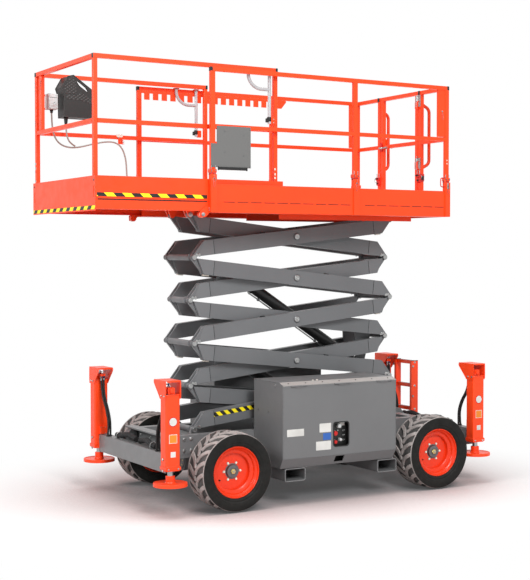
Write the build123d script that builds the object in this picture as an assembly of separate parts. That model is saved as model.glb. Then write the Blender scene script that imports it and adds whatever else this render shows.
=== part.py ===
"""Electric rough-terrain scissor lift with a roll-out deck and four outriggers.

Millimetres, +Z up, +X towards the end where the deck rolls out, +Y to the left.
Pieces are drawn from a point on the ground midway between the axles, and are
moved along X on export so that the origin lies under the middle of the machine.
"""
from build123d import *
import math
import os

# ---------------------------------------------------------------- running gear
WHEELBASE = 2081
TYRE_R = 330
TYRE_W = 285
WHEELS_OVER = 1750                      # outside of the left tyre to outside of the right
RIM_R = 214
LUG_H = 17
LUGS_PER_SIDE = 16
AXLE_Z = TYRE_R
WHEEL_Y = WHEELS_OVER / 2 - TYRE_W / 2
KINGPIN_IN = 132                        # kingpin, in from the middle of the tyre
KINGPIN_Y = WHEEL_Y - KINGPIN_IN
STUB_R = 34
HUB_R = 70
FIT = 0.05                              # radial clearance of a pin in its bore
GAP = 0.3                               # running gap between faces

# ---------------------------------------------------------------- scissor stack
LEVELS = 5
PIN_SPAN = 2080                         # end pin to end pin of one arm
LEVEL_H = 368                           # height of one level as parked
FRONT_PIN_X = 1130
LOW_PIN_Z = 619
ARM_DEPTH = 130
ARM_W = 65
ARM_SPACE = 10                          # between arms lying flat on each other
OUTER_Y = 213                           # inner face of an outer arm
INNER_Y = 138                           # inner face of an inner arm
END_SET = 30                            # arm's end, back from its pin
BEVEL = 105
LUG_R = 24
PIN_R = 16
CHEEK = 14
TONGUE = 24
CROSS_R = 26
ROLLER_R = 43.5
ROLLER_W = 34
CENTRE_PIN_R = 20

STACK_PITCH = ARM_DEPTH + ARM_SPACE
LIFT_ANGLE = math.degrees(math.asin(LEVEL_H / PIN_SPAN))
TILT = LIFT_ANGLE - math.degrees(math.asin(STACK_PITCH / PIN_SPAN))
HALF_RUN = math.sqrt(PIN_SPAN**2 - STACK_PITCH**2) / 2
REAR_PIN_X = FRONT_PIN_X - PIN_SPAN * math.cos(math.radians(LIFT_ANGLE))
MID_PIN_X = (FRONT_PIN_X + REAR_PIN_X) / 2
TOP_PIN_Z = LOW_PIN_Z + LEVELS * LEVEL_H

# ---------------------------------------------------------------- lift cylinders
CYL_TAIL = (-700, 1109)                 # x, z of the upper cylinder's barrel pin
CYL_EYE = (650, 1980)                   # x, z of its rod pin
CYL_DROP = 2 * LEVEL_H                  # the lower cylinder, this much further down
BARREL_R = 50
BORE_R = 38
ROD_R = 30
BARREL_L = 1360                         # tail pin to gland face
ROD_IN = 330                            # tail pin to the piston, as parked
EYE_R = 44
EYE_W = 80
CYL_PIN_R = 22
EAR_T = 14
EAR_Y_LOWER = INNER_Y - 28              # inner face of the ears of the lower cylinder
EAR_Y_UPPER = INNER_Y - 46              # and of the upper one, clear of them when folded
CYLINDERS = (("lower", CYL_DROP, EAR_Y_LOWER, 1, 2),    # name, drop, ear, tail level, eye level
             ("upper", 0, EAR_Y_UPPER, 3, 4))

# ---------------------------------------------------------------- chassis
RAIL_Y = 285                            # inner face of a main rail
RAIL_W = 80
RAIL_TOP = 590
RAIL_LOW = 400
BELLY_LOW = 307
BELLY_X = 700
BEAM_X = 1520                           # inner face of an outrigger crossbeam
BEAM_D = 80
BEAM_LOW = 345
BEAM_TOP = 500
EYE_PLATE_Y = 200                       # tie-down eyes under the rear beam
EYE_BORE_R = 14
EYE_R_OUT = 30
EYE_Z = BEAM_LOW - 34
NOSE_X = 1400                           # web of the channel across the front
NOSE_LOW = 478
NOSE_TOP = 606
TRACK_Y = 150
TRACK_W = 42
TRACK_H = 60
TRACK_X = (-1090, 240)
POCKET_W = 206
POCKET_H = 112
POCKET_Z = 195
POCKET_END_Y = 800
POCKET_WALL = 8
POCKET_ROUND = 20
POCKETS_X = (444, -510)                 # middle of each fork pocket

# ---------------------------------------------------------------- outriggers
LEG_Y = 727
LEG_BOX_X = 128
LEG_BOX_Y = 106
LEG_WALL = 8
LEG_ROUND = 14
LEG_LOW = 375
LEG_BODY_TOP = 985
HOOD_TOP = 1105
HOOD_LOW = 955
HOOD_REACH = 100                        # how far a hood stands in past the tube
HOOD_LIP = 34
LEG_FRONT_X = 1584
LEG_REAR_X = -1571
PAD_R = 140
PAD_T = 24
PAD_Z = 250
LEG_ROD_R = 24
LEG_NECK_R = 38
HOSE_R = 8
HOSES_DX = (-13, 13)                    # the two hoses of a leg, along X
SEAT = 0.9                              # a hose's end to what it comes out of
SLEEVE_R = 24

# ---------------------------------------------------------------- cabinets
CAB_IN_Y = RAIL_Y + RAIL_W
CAB_OUT_Y = 850
CAB_FRONT_X = 595
CAB_REAR_X = -570
CAB_TOP = 1040
CAB_EDGE_TOP = 1015                     # where the sloped strip meets the outer face
CAB_STRIP = 60                          # width of the sloped strip
CAB_FOLD_Z = 395
CAB_LOW = 312
CAB_LOW_Y = 800
SHEET = 4
DOOR_PIN_R = 3
DOOR_BARREL_R = 6
DOOR_BARREL_L = 80
DOOR_PIN_Y = CAB_OUT_Y + DOOR_BARREL_R  # hinge along a door's top edge
DOOR_PIN_Z = CAB_EDGE_TOP - 6
DOOR_HINGES_X = (-480, -40, 400)
WINDOW_X = (-65, 86)
WINDOW_Z = (473, 674)
WINDOW_ROUND = 22
LADDER_W = 290
LADDER_Y = -290                         # outer face of its left side plate
LADDER_D = 80
LADDER_LOW = 300
LADDER_TOP = 1052
RUNG_H = 34

# ---------------------------------------------------------------- platform
DECK_LOW = 2460
FLOOR_Z = 2547
FLOOR_T = 12
DECK_FRONT = 1209
DECK_REAR = -1250
DECK_Y = 729
TOE_TOP = 2692
PLATE = 4
RAIL_TOP_Z = 3647
MID_RAIL_UP = 618                       # middle of the mid rails above the floor
MID_RAIL_Z = FLOOR_Z + MID_RAIL_UP
POST = 42                               # along X
POST_T = 28                             # along Y
RAIL_H = 35
MID_H = 34
MID_POST_X = -242
GUSSET_W = 80                           # plates at the two rear corners
POSTS_X = (DECK_FRONT - POST, MID_POST_X, DECK_REAR)
SLEEVE_TOP = 2772
SLEEVE_T = 12
GATE_Y = (-315, 335)                    # middle of the latch post and of the hinge post
GATE_D = 34
HINGE_L = 60
HINGE_UP = 416                          # lower hinge above the floor
HINGE_DOWN = 65                         # top of the upper hinge below the top rail
GATE_PIN_X = DECK_REAR + PLATE + GATE_D + 9
GATE_PIN_Y = GATE_Y[1] - POST / 2 - 3
GRAB_R = 15
GRAB_OUT = 78
GRAB_Z = (2930, 3520)
RACK_PITCH = 107
RACK_SLOT = 30
RACK_SLOT_H = 69
RACK_X = (-372, 1207)
RACK_T = 6
EXT_FRONT = 2209
EXT_REAR = 500
EXT_Y = 690
EXT_RAIL_Y = 652
EXT_FLOOR_Z = 2562
EXT_TOE_TOP = 2733
EXT_LOW = 2472
EXT_TOP_Z = 3688
EXT_RAIL_REAR = 530
EXT_POST = 35
DECK_ROLLER_R = 28
LATCH_TUBE_R = 12
HOOK_OUT = 206                          # a latch handle's hook, along X and down
HOOK_DOWN = 154
CONTROL_L = 278                         # control box at its foot
CONTROL_H = 362
CONTROL_D = 150
CONTROL_BACK = 482                      # its rear end, back from the deck's front
OUTLET_L = 86
OUTLET_H = 133
OUTLET_D = 86
OUTLET_GAP = 45                         # from the corner post
OUTLET_DOWN = 316                       # its underside below the top rail's top
LATCH_X = EXT_RAIL_REAR + 92            # upright of a latch handle
CABLE_R = 7

# The middle of the whole machine, in the drawing's own x
MIDDLE_X = (EXT_FRONT + LEG_REAR_X - PAD_R) / 2

NODES = {}


def box(x0, x1, y0, y1, z0, z1):
    """A block between two x, two y and two z values."""
    centre = Pos((x0 + x1) / 2, (y0 + y1) / 2, (z0 + z1) / 2)
    return centre * Box(x1 - x0, y1 - y0, z1 - z0)


def slab(points, y0, y1):
    """A plate whose outline is given as x, z points, from y0 to y1."""
    outline = Polyline(*[(x, y0, z) for x, z in points], close=True)
    return extrude(make_face(outline), amount=y1 - y0, dir=(0, 1, 0))


def prism_x(points, x0, x1):
    """A bar along X whose section is given as y, z points."""
    outline = Polyline(*[(x0, y, z) for y, z in points], close=True)
    return extrude(make_face(outline), amount=x1 - x0, dir=(1, 0, 0))


def pin_y(x, z, y0, y1, radius):
    """A round bar along Y."""
    return Pos(x, (y0 + y1) / 2, z) * Rot(90, 0, 0) * Cylinder(radius, y1 - y0)


def pin_z(x, y, z0, z1, radius):
    """A round bar along Z."""
    return Pos(x, y, (z0 + z1) / 2) * Cylinder(radius, z1 - z0)


def pin_x(y, z, x0, x1, radius):
    """A round bar along X."""
    return Pos((x0 + x1) / 2, y, z) * Rot(0, 90, 0) * Cylinder(radius, x1 - x0)


def bent_tube(points, bends, radius):
    """A round tube along x, y, z points, with a bend radius for each inner point."""
    path = FilletPolyline(*points, radius=list(bends))
    start = path @ 0
    return sweep(Plane(start, z_dir=path % 0) * Circle(radius), path=path)


def soft_route(points, radius):
    """A hose along points, each bend as wide as its two runs allow."""
    bends = []
    for before, point, after in zip(points, points[1:], points[2:]):
        run_in, run_out = Vector(*point) - Vector(*before), Vector(*after) - Vector(*point)
        turn = math.radians(run_in.get_angle(run_out))
        bends.append(0.45 * min(run_in.length, run_out.length) / math.tan(turn / 2))
    print("bends", [round(bend) for bend in bends], "on a hose of", 2 * radius)
    return bent_tube(points, bends, radius)


def other_side(shape):
    """The same piece on the right-hand side."""
    return mirror(shape, about=Plane.XZ)


def both_sides(shape):
    return [shape, other_side(shape)]


def keep(name, *shapes):
    """Store a node's solids under the node's name."""
    solids = []
    for shape in shapes:
        solids.extend(shape.solids())
    NODES[name] = solids


# ================================================================ scissor arms
def arm_side(y, lower, upper, bore):
    """One arm tube with its ends. x runs from the lower end to the upper one, origin at the middle pin.

    lower and upper are "fork", "tongue" or "roller".
    """
    half, pitch = ARM_DEPTH / 2, STACK_PITCH / 2
    y1 = y + ARM_W
    body = slab([(-HALF_RUN + END_SET, -half), (HALF_RUN - BEVEL, -half),
                 (HALF_RUN - END_SET, half), (-HALF_RUN + BEVEL, half)], y, y1)
    for end, kind in ((-1, lower), (1, upper)):
        pin_x0, pin_z0 = end * HALF_RUN, end * pitch
        web = [(end * (HALF_RUN + LUG_R - 2), end * (pitch - 8)), (end * (HALF_RUN - BEVEL), -end * half),
               (end * (HALF_RUN - BEVEL), end * half), (end * (HALF_RUN - LUG_R + 6), end * half)]
        middle = y + ARM_W / 2
        if kind == "tongue":
            strips = [(middle - TONGUE / 2, middle + TONGUE / 2)]
        else:
            strips = [(y, y + CHEEK), (y1 - CHEEK, y1)]
        for s0, s1 in strips:
            body += slab(web, s0, s1) + pin_y(pin_x0, pin_z0, s0, s1, LUG_R)
        if kind == "tongue":
            body -= pin_y(pin_x0, pin_z0, y, y1, PIN_R + FIT)
        else:
            body += pin_y(pin_x0, pin_z0, y, y1, PIN_R)
        if kind == "roller":
            body += pin_y(pin_x0, pin_z0, middle - ROLLER_W / 2, middle + ROLLER_W / 2, ROLLER_R)
    if bore:
        body -= pin_y(0, 0, y, y1, CENTRE_PIN_R + FIT)
    else:
        reach = OUTER_Y + ARM_W
        body += pin_y(0, 0, y1, OUTER_Y - GAP, CENTRE_PIN_R * 2)
        body += pin_y(0, 0, y1, reach + 6, CENTRE_PIN_R)
        body += pin_y(0, 0, reach + GAP, reach + 6, CENTRE_PIN_R + 5)
    return body


def arm_place(level, rises_forward):
    """Where an arm's own frame lies on the parked machine."""
    z = LOW_PIN_Z + (level - 0.5) * LEVEL_H
    if rises_forward:
        return Pos(MID_PIN_X, 0, z) * Rot(0, -TILT, 0)
    return Pos(MID_PIN_X, 0, z) * Rot(0, TILT, 0) * Rot(0, 0, 180)


def cylinder_ear(x, z, ear_y):
    """A plate beside the inner arm, in the arm's own frame, that holds a cylinder's pin."""
    side = 1 if z > 0 else -1
    root = side * ARM_DEPTH / 2
    ear = slab([(x - 95, root - side * 40), (x + 95, root - side * 40), (x + EYE_R, z), (x - EYE_R, z)],
               ear_y, ear_y + EAR_T)
    ear += pin_y(x, z, ear_y, ear_y + EAR_T, EYE_R)
    ear += box(x - 90, x + 90, ear_y + EAR_T, INNER_Y, min(root, root - side * 70), max(root, root - side * 70))
    return ear


def scissor_arms():
    """Ten arm pairs. Outer pairs on odd levels rise to the rear, inner pairs the other way."""
    for level in range(1, LEVELS + 1):
        odd = level % 2 == 1
        place = arm_place(level, not odd)
        side = arm_side(OUTER_Y, "fork", "roller" if level == LEVELS else "tongue", True)
        pair = side + other_side(side)
        pair += pin_y(-HALF_RUN, -STACK_PITCH / 2, -OUTER_Y, OUTER_Y, CROSS_R)
        keep(f"outer_arms_{level}", place * pair)

        place = arm_place(level, odd)
        side = arm_side(INNER_Y, "roller" if level == 1 else "fork", "tongue", False)
        pins = []
        for _, drop, ear_y, tail_level, eye_level in CYLINDERS:
            if level not in (tail_level, eye_level):
                continue
            at_tail = level == tail_level
            x, z = CYL_TAIL if at_tail else CYL_EYE
            local = (place.inverse() * Pos(x, 0, z - drop)).position
            side += cylinder_ear(local.X, local.Z, ear_y)
            if at_tail:
                pins.append(pin_y(local.X, local.Z, -ear_y - 1, ear_y + 1, CYL_PIN_R))
            else:
                side += pin_y(local.X, local.Z, EYE_W / 2 + 5, ear_y + 1, CYL_PIN_R)
        pair = side + other_side(side)
        pair += pin_y(-HALF_RUN, -STACK_PITCH / 2, -INNER_Y, INNER_Y, CROSS_R)
        for pin in pins:
            pair += pin
        keep(f"inner_arms_{level}", place * pair)


def lift_cylinders():
    """Two cylinders, drawn along X from the tail pin and then tipped up."""
    dx, dz = CYL_EYE[0] - CYL_TAIL[0], CYL_EYE[1] - CYL_TAIL[1]
    length, angle = math.hypot(dx, dz), math.degrees(math.atan2(dz, dx))
    barrel = pin_x(0, 0, 40, BARREL_L, BARREL_R) - pin_x(0, 0, 90, BARREL_L, BORE_R)
    barrel += pin_y(0, 0, -EYE_W / 2, EYE_W / 2, EYE_R + 6)
    barrel -= pin_y(0, 0, -EYE_W, EYE_W, CYL_PIN_R + FIT)
    barrel += pin_x(0, 0, BARREL_L - 60, BARREL_L, BARREL_R + 6) - pin_x(0, 0, BARREL_L - 60, BARREL_L, ROD_R + GAP)
    rod = pin_x(0, 0, ROD_IN, length, ROD_R) + pin_x(0, 0, ROD_IN, ROD_IN + 45, BORE_R - GAP)
    rod += pin_y(length, 0, -EYE_W / 2, EYE_W / 2, EYE_R)
    for name, drop, *_ in CYLINDERS:
        place = Pos(CYL_TAIL[0], 0, CYL_TAIL[1] - drop) * Rot(0, -angle, 0)
        keep(f"{name}_cylinder_barrel", place * barrel)
        keep(f"{name}_cylinder_rod", place * rod)


# ================================================================ chassis
def chassis():
    half = WHEELBASE / 2
    side = slab([(-BEAM_X, BEAM_LOW + 20), (-BEAM_X + 120, RAIL_LOW), (-BELLY_X - 90, RAIL_LOW), (-BELLY_X, BELLY_LOW),
                 (BELLY_X, BELLY_LOW), (BELLY_X + 90, RAIL_LOW), (BEAM_X - 120, RAIL_LOW), (BEAM_X, BEAM_LOW + 20),
                 (BEAM_X, BEAM_TOP + 20), (BEAM_X - 60, RAIL_TOP), (-BEAM_X + 60, RAIL_TOP), (-BEAM_X, BEAM_TOP + 20)],
                RAIL_Y, RAIL_Y + RAIL_W)
    frame = side + other_side(side)
    track_top = LOW_PIN_Z - ROLLER_R - GAP
    for y in (TRACK_Y, -TRACK_Y - TRACK_W):
        frame += box(TRACK_X[0], TRACK_X[1], y, y + TRACK_W, track_top - TRACK_H, track_top)
    for x in (TRACK_X[0], TRACK_X[1] - 60):
        frame += box(x, x + 60, -RAIL_Y, -TRACK_Y, track_top - TRACK_H, track_top - 10)
        frame += box(x, x + 60, TRACK_Y, RAIL_Y, track_top - TRACK_H, track_top - 10)
    for x in (-1330, 1080):
        frame += box(x, x + 100, -RAIL_Y, RAIL_Y, 440, 570)
    reach = RAIL_Y + RAIL_W
    nose = [(NOSE_X, NOSE_LOW), (NOSE_X + 90, NOSE_LOW), (NOSE_X + 90, NOSE_LOW + 12), (NOSE_X + 14, NOSE_LOW + 12),
            (NOSE_X + 14, NOSE_TOP - 12), (NOSE_X + 90, NOSE_TOP - 12), (NOSE_X + 90, NOSE_TOP), (NOSE_X, NOSE_TOP)]
    frame += slab(nose, -reach, reach)
    tongue_y = OUTER_Y + ARM_W / 2
    lug = slab([(FRONT_PIN_X - LUG_R, LOW_PIN_Z), (FRONT_PIN_X - 50, 560), (FRONT_PIN_X + 50, 560),
                (FRONT_PIN_X + LUG_R, LOW_PIN_Z)], tongue_y - TONGUE / 2, tongue_y + TONGUE / 2)
    lug += pin_y(FRONT_PIN_X, LOW_PIN_Z, tongue_y - TONGUE / 2, tongue_y + TONGUE / 2, LUG_R)
    lug -= pin_y(FRONT_PIN_X, LOW_PIN_Z, OUTER_Y, OUTER_Y + ARM_W, PIN_R + FIT)
    frame += lug + other_side(lug)
    keep("chassis_frame", frame)

    beams = []
    for end, leg_x in ((1, LEG_FRONT_X), (-1, LEG_REAR_X)):
        x0, x1 = sorted((end * BEAM_X, end * (BEAM_X + BEAM_D)))
        beam = box(x0, x1, -LEG_Y + LEG_BOX_Y / 2, LEG_Y - LEG_BOX_Y / 2, BEAM_LOW, BEAM_TOP)
        if end < 0:
            middle = (x0 + x1) / 2
            for y in (-EYE_PLATE_Y, EYE_PLATE_Y):
                eye = prism_x([(y - 45, BEAM_LOW), (y + 45, BEAM_LOW), (y + EYE_R_OUT, EYE_Z), (y - EYE_R_OUT, EYE_Z)],
                              middle - 8, middle + 8)
                eye += pin_x(y, EYE_Z, middle - 8, middle + 8, EYE_R_OUT)
                beam += eye - pin_x(y, EYE_Z, middle - 9, middle + 9, EYE_BORE_R)
        beams.append(beam)
    keep("outrigger_beams", *beams)

    pockets = []
    for x in POCKETS_X:
        outer = box(x - POCKET_W / 2, x + POCKET_W / 2, -POCKET_END_Y, POCKET_END_Y, POCKET_Z, POCKET_Z + POCKET_H)
        outer = fillet(outer.edges().filter_by(Axis.Y), POCKET_ROUND)
        inner = box(x - POCKET_W / 2 + POCKET_WALL, x + POCKET_W / 2 - POCKET_WALL, -POCKET_END_Y, POCKET_END_Y,
                    POCKET_Z + POCKET_WALL, POCKET_Z + POCKET_H - POCKET_WALL)
        pockets.append(outer - fillet(inner.edges().filter_by(Axis.Y), POCKET_ROUND - POCKET_WALL))
    keep("fork_pockets", *pockets)

    yoke_y = KINGPIN_Y - 40
    axle = pin_x(0, AXLE_Z, -90, 90, 100) + box(-60, 60, -yoke_y + 40, yoke_y - 40, AXLE_Z - 55, AXLE_Z + 55)
    for y in (RAIL_Y + 5, -RAIL_Y - RAIL_W + 5):
        axle += box(-70, 70, y, y + RAIL_W - 10, AXLE_Z + 50, RAIL_LOW)
    stub_y = WHEEL_Y + 2.5
    rear = axle + pin_y(0, AXLE_Z, -KINGPIN_Y + 5, KINGPIN_Y - 5, 60) + pin_y(0, AXLE_Z, -stub_y, stub_y, STUB_R)
    keep("rear_axle", Pos(-half, 0, 0) * rear)
    yoke = box(-60, 60, yoke_y - 50, yoke_y, AXLE_Z - 120, AXLE_Z + 120)
    yoke += box(-45, 45, yoke_y - 5, KINGPIN_Y + 40, AXLE_Z + 90, AXLE_Z + 120)
    yoke += box(-45, 45, yoke_y - 5, KINGPIN_Y + 40, AXLE_Z - 120, AXLE_Z - 90)
    yoke += pin_z(0, KINGPIN_Y, AXLE_Z - 150, AXLE_Z - 115, 30) + pin_z(0, KINGPIN_Y, AXLE_Z + 115, AXLE_Z + 135, 30)
    yoke += box(60, 82, yoke_y - 130, yoke_y - 20, AXLE_Z - 70, AXLE_Z + 90)
    keep("front_axle", Pos(half, 0, 0) * (axle + yoke + other_side(yoke)))
    knuckle = pin_z(0, KINGPIN_Y, AXLE_Z - 90 + GAP, AXLE_Z + 90 - GAP, 38)
    knuckle += pin_y(0, AXLE_Z, KINGPIN_Y, stub_y, STUB_R)
    for name, piece in zip(("steering_knuckle_left", "steering_knuckle_right"), both_sides(knuckle)):
        keep(name, Pos(half, 0, 0) * piece)


def outriggers():
    """Four square tubes with an open hood on top and a ram inside that lowers a round pad."""
    housings, routes = [], []
    in_y, out_y = LEG_Y - LEG_BOX_Y / 2, LEG_Y + LEG_BOX_Y / 2
    for end, x in (("front", LEG_FRONT_X), ("rear", LEG_REAR_X)):
        x0, x1 = x - LEG_BOX_X / 2, x + LEG_BOX_X / 2
        outer = box(x0, x1, in_y, out_y, LEG_LOW, LEG_BODY_TOP)
        outer = fillet(outer.edges().filter_by(Axis.Z), LEG_ROUND)
        inner = box(x0 + LEG_WALL, x1 - LEG_WALL, in_y + LEG_WALL, out_y - LEG_WALL, LEG_LOW + 40, LEG_BODY_TOP - 20)
        collar = box(x0 - 4, x1 + 4, in_y, out_y + 4, LEG_LOW, LEG_LOW + 34)
        collar = chamfer(collar.faces().sort_by(Axis.Z)[0].edges(), 10)
        cheek = [(out_y + SHEET, HOOD_TOP), (out_y + SHEET, HOOD_LOW + 16), (out_y - 12, HOOD_LOW), (in_y + 6, HOOD_LOW),
                 (in_y - HOOD_REACH, HOOD_TOP - HOOD_LIP), (in_y - HOOD_REACH, HOOD_TOP)]
        hood = box(x0 - SHEET, x1 + SHEET, in_y - HOOD_REACH, out_y + SHEET, HOOD_TOP - SHEET, HOOD_TOP)
        hood += prism_x(cheek, x0 - SHEET, x0) + prism_x(cheek, x1, x1 + SHEET)
        clevis = box(x - 30, x + 30, LEG_Y - 26, LEG_Y - 10, LEG_BODY_TOP - 5, LEG_BODY_TOP + 62)
        clevis += box(x - 30, x + 30, LEG_Y + 10, LEG_Y + 26, LEG_BODY_TOP - 5, LEG_BODY_TOP + 62)
        clevis += pin_y(x, LEG_BODY_TOP + 36, LEG_Y - 32, LEG_Y + 32, 12)
        clevis += pin_y(x, LEG_BODY_TOP + 36, LEG_Y - 10, LEG_Y + 10, 26)
        for dx in HOSES_DX:
            clevis += box(x + dx - 10, x + dx + 10, in_y - 42, LEG_Y - 20, LEG_BODY_TOP + 40, LEG_BODY_TOP + 60)
        box_side = box(x - 26, x + 26, in_y - 34, in_y, BEAM_TOP + 6, BEAM_TOP + 70)
        housing = outer - inner + collar + hood + clevis + box_side
        housing -= pin_z(x, LEG_Y, LEG_LOW - 1, LEG_LOW + 60, LEG_ROD_R + GAP)
        leg = pin_z(x, LEG_Y, PAD_Z, LEG_BODY_TOP - 60, LEG_ROD_R) + pin_z(x, LEG_Y, PAD_Z, PAD_Z + PAD_T, PAD_R)
        leg += pin_z(x, LEG_Y, PAD_Z, PAD_Z + 76, LEG_NECK_R)
        for side, piece, body in (("left", leg, housing), ("right", other_side(leg), other_side(housing))):
            keep(f"leg_{end}_{side}", piece)
            housings.append(body)
        for dx in HOSES_DX:
            route = [(x + dx, in_y - 28, LEG_BODY_TOP + 40 - SEAT), (x + dx, in_y - 31, 925), (x + dx + 1, in_y - 64, 830),
                     (x + dx + 2, in_y - 132, 745), (x + dx, in_y - 176, 650), (x + dx - 1, in_y - 180, 570),
                     (x + dx, in_y - 172, BEAM_TOP + SEAT)]
            routes.append(route)
    keep("outrigger_housings", *housings)
    return routes


def hoses(routes):
    """Two hoses down each outrigger, and the thick sleeve that carries them along the beam."""
    lines = []
    for route in routes:
        line = soft_route(route, HOSE_R)
        lines += [line, other_side(line)]
    z = BEAM_TOP + SLEEVE_R + GAP
    for end in (1, -1):
        x = end * (BEAM_X + 30)
        route = [(x, 400, z), (x + end * 5, 310, z + 3), (x - end * 6, 215, z + 26), (x - end * 26, 120, z + 18),
                 (x - end * 20, 40, z)]
        lines += both_sides(soft_route(route, SLEEVE_R))
    keep("outrigger_hoses", *lines)


# ================================================================ wheels
def wheel():
    """One tyre and rim about the Y axis, its outer face towards +Y, centred on its mid plane."""
    half = TYRE_W / 2
    base = TYRE_R - LUG_H
    sides = 2 * LUGS_PER_SIDE
    rings = ((-half, RIM_R + 50), (-half + 4, base - 34), (-half + 30, base - 4), (half - 30, base - 4),
             (half - 4, base - 34), (half, RIM_R + 50))                 # y, distance from the axle to a flat
    sections = []
    for y, radius in rings:
        across = radius / math.cos(math.pi / sides)
        sections.append(Plane((0, y, 0), x_dir=(1, 0, 0), z_dir=(0, 1, 0)) * RegularPolygon(across, sides))
    tyre = loft(sections, ruled=True)
    bead = [(0, -half + 22), (RIM_R, -half + 22), (RIM_R + 22, -half - 1), (0, -half - 1)]
    bore = revolve(make_face(Polyline(*[(r, y, 0) for r, y in bead], close=True)), Axis.Y, 360)
    tyre -= pin_y(0, 0, -half, half, RIM_R) + bore + mirror(bore, about=Plane.XZ)
    lip = [(RIM_R - 8, -half + 22), (RIM_R - GAP, -half + 22), (RIM_R - GAP, half - 22), (RIM_R - 8, half - 22),
           (RIM_R - 26, half - 60), (RIM_R - 58, half - 74), (RIM_R - 64, half - 104), (HUB_R - 10, half - 104),
           (HUB_R - 10, half - 114), (RIM_R - 72, half - 114), (RIM_R - 40, half - 90)]
    rim = revolve(make_face(Polyline(*[(r, y, 0) for r, y in lip], close=True)), Axis.Y, 360)
    hub = pin_y(0, 0, -30, half - 84, HUB_R) - pin_y(0, 0, -31, 5, STUB_R + FIT)
    lug = []
    for side in (-1, 1):
        for n in range(LUGS_PER_SIDE):
            angle = 360 / LUGS_PER_SIDE * (n + (0.5 if side > 0 else 0))
            near, far = 4, half - 3
            bar = [(-52, far), (-22, far), (36, near + 22), (44, near), (16, near), (-8, near + 20), (-40, far - 46)]
            bar = Polyline(*[(x, side * y, base - 12) for x, y in bar], close=True)
            bar = extrude(make_face(bar), amount=LUG_H + 10.5, dir=(0, 0, 1))
            lug.append(Rot(0, angle, 0) * bar)
    for bar in lug:
        tyre += bar
    return tyre, rim + hub


def wheels():
    tyre, rim = wheel()
    for end, x in (("front", WHEELBASE / 2), ("rear", -WHEELBASE / 2)):
        place = Pos(x, WHEEL_Y, AXLE_Z)
        keep(f"tyre_{end}_left", place * tyre)
        keep(f"rim_{end}_left", place * rim)
        keep(f"tyre_{end}_right", other_side(place * tyre))
        keep(f"rim_{end}_right", other_side(place * rim))


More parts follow.
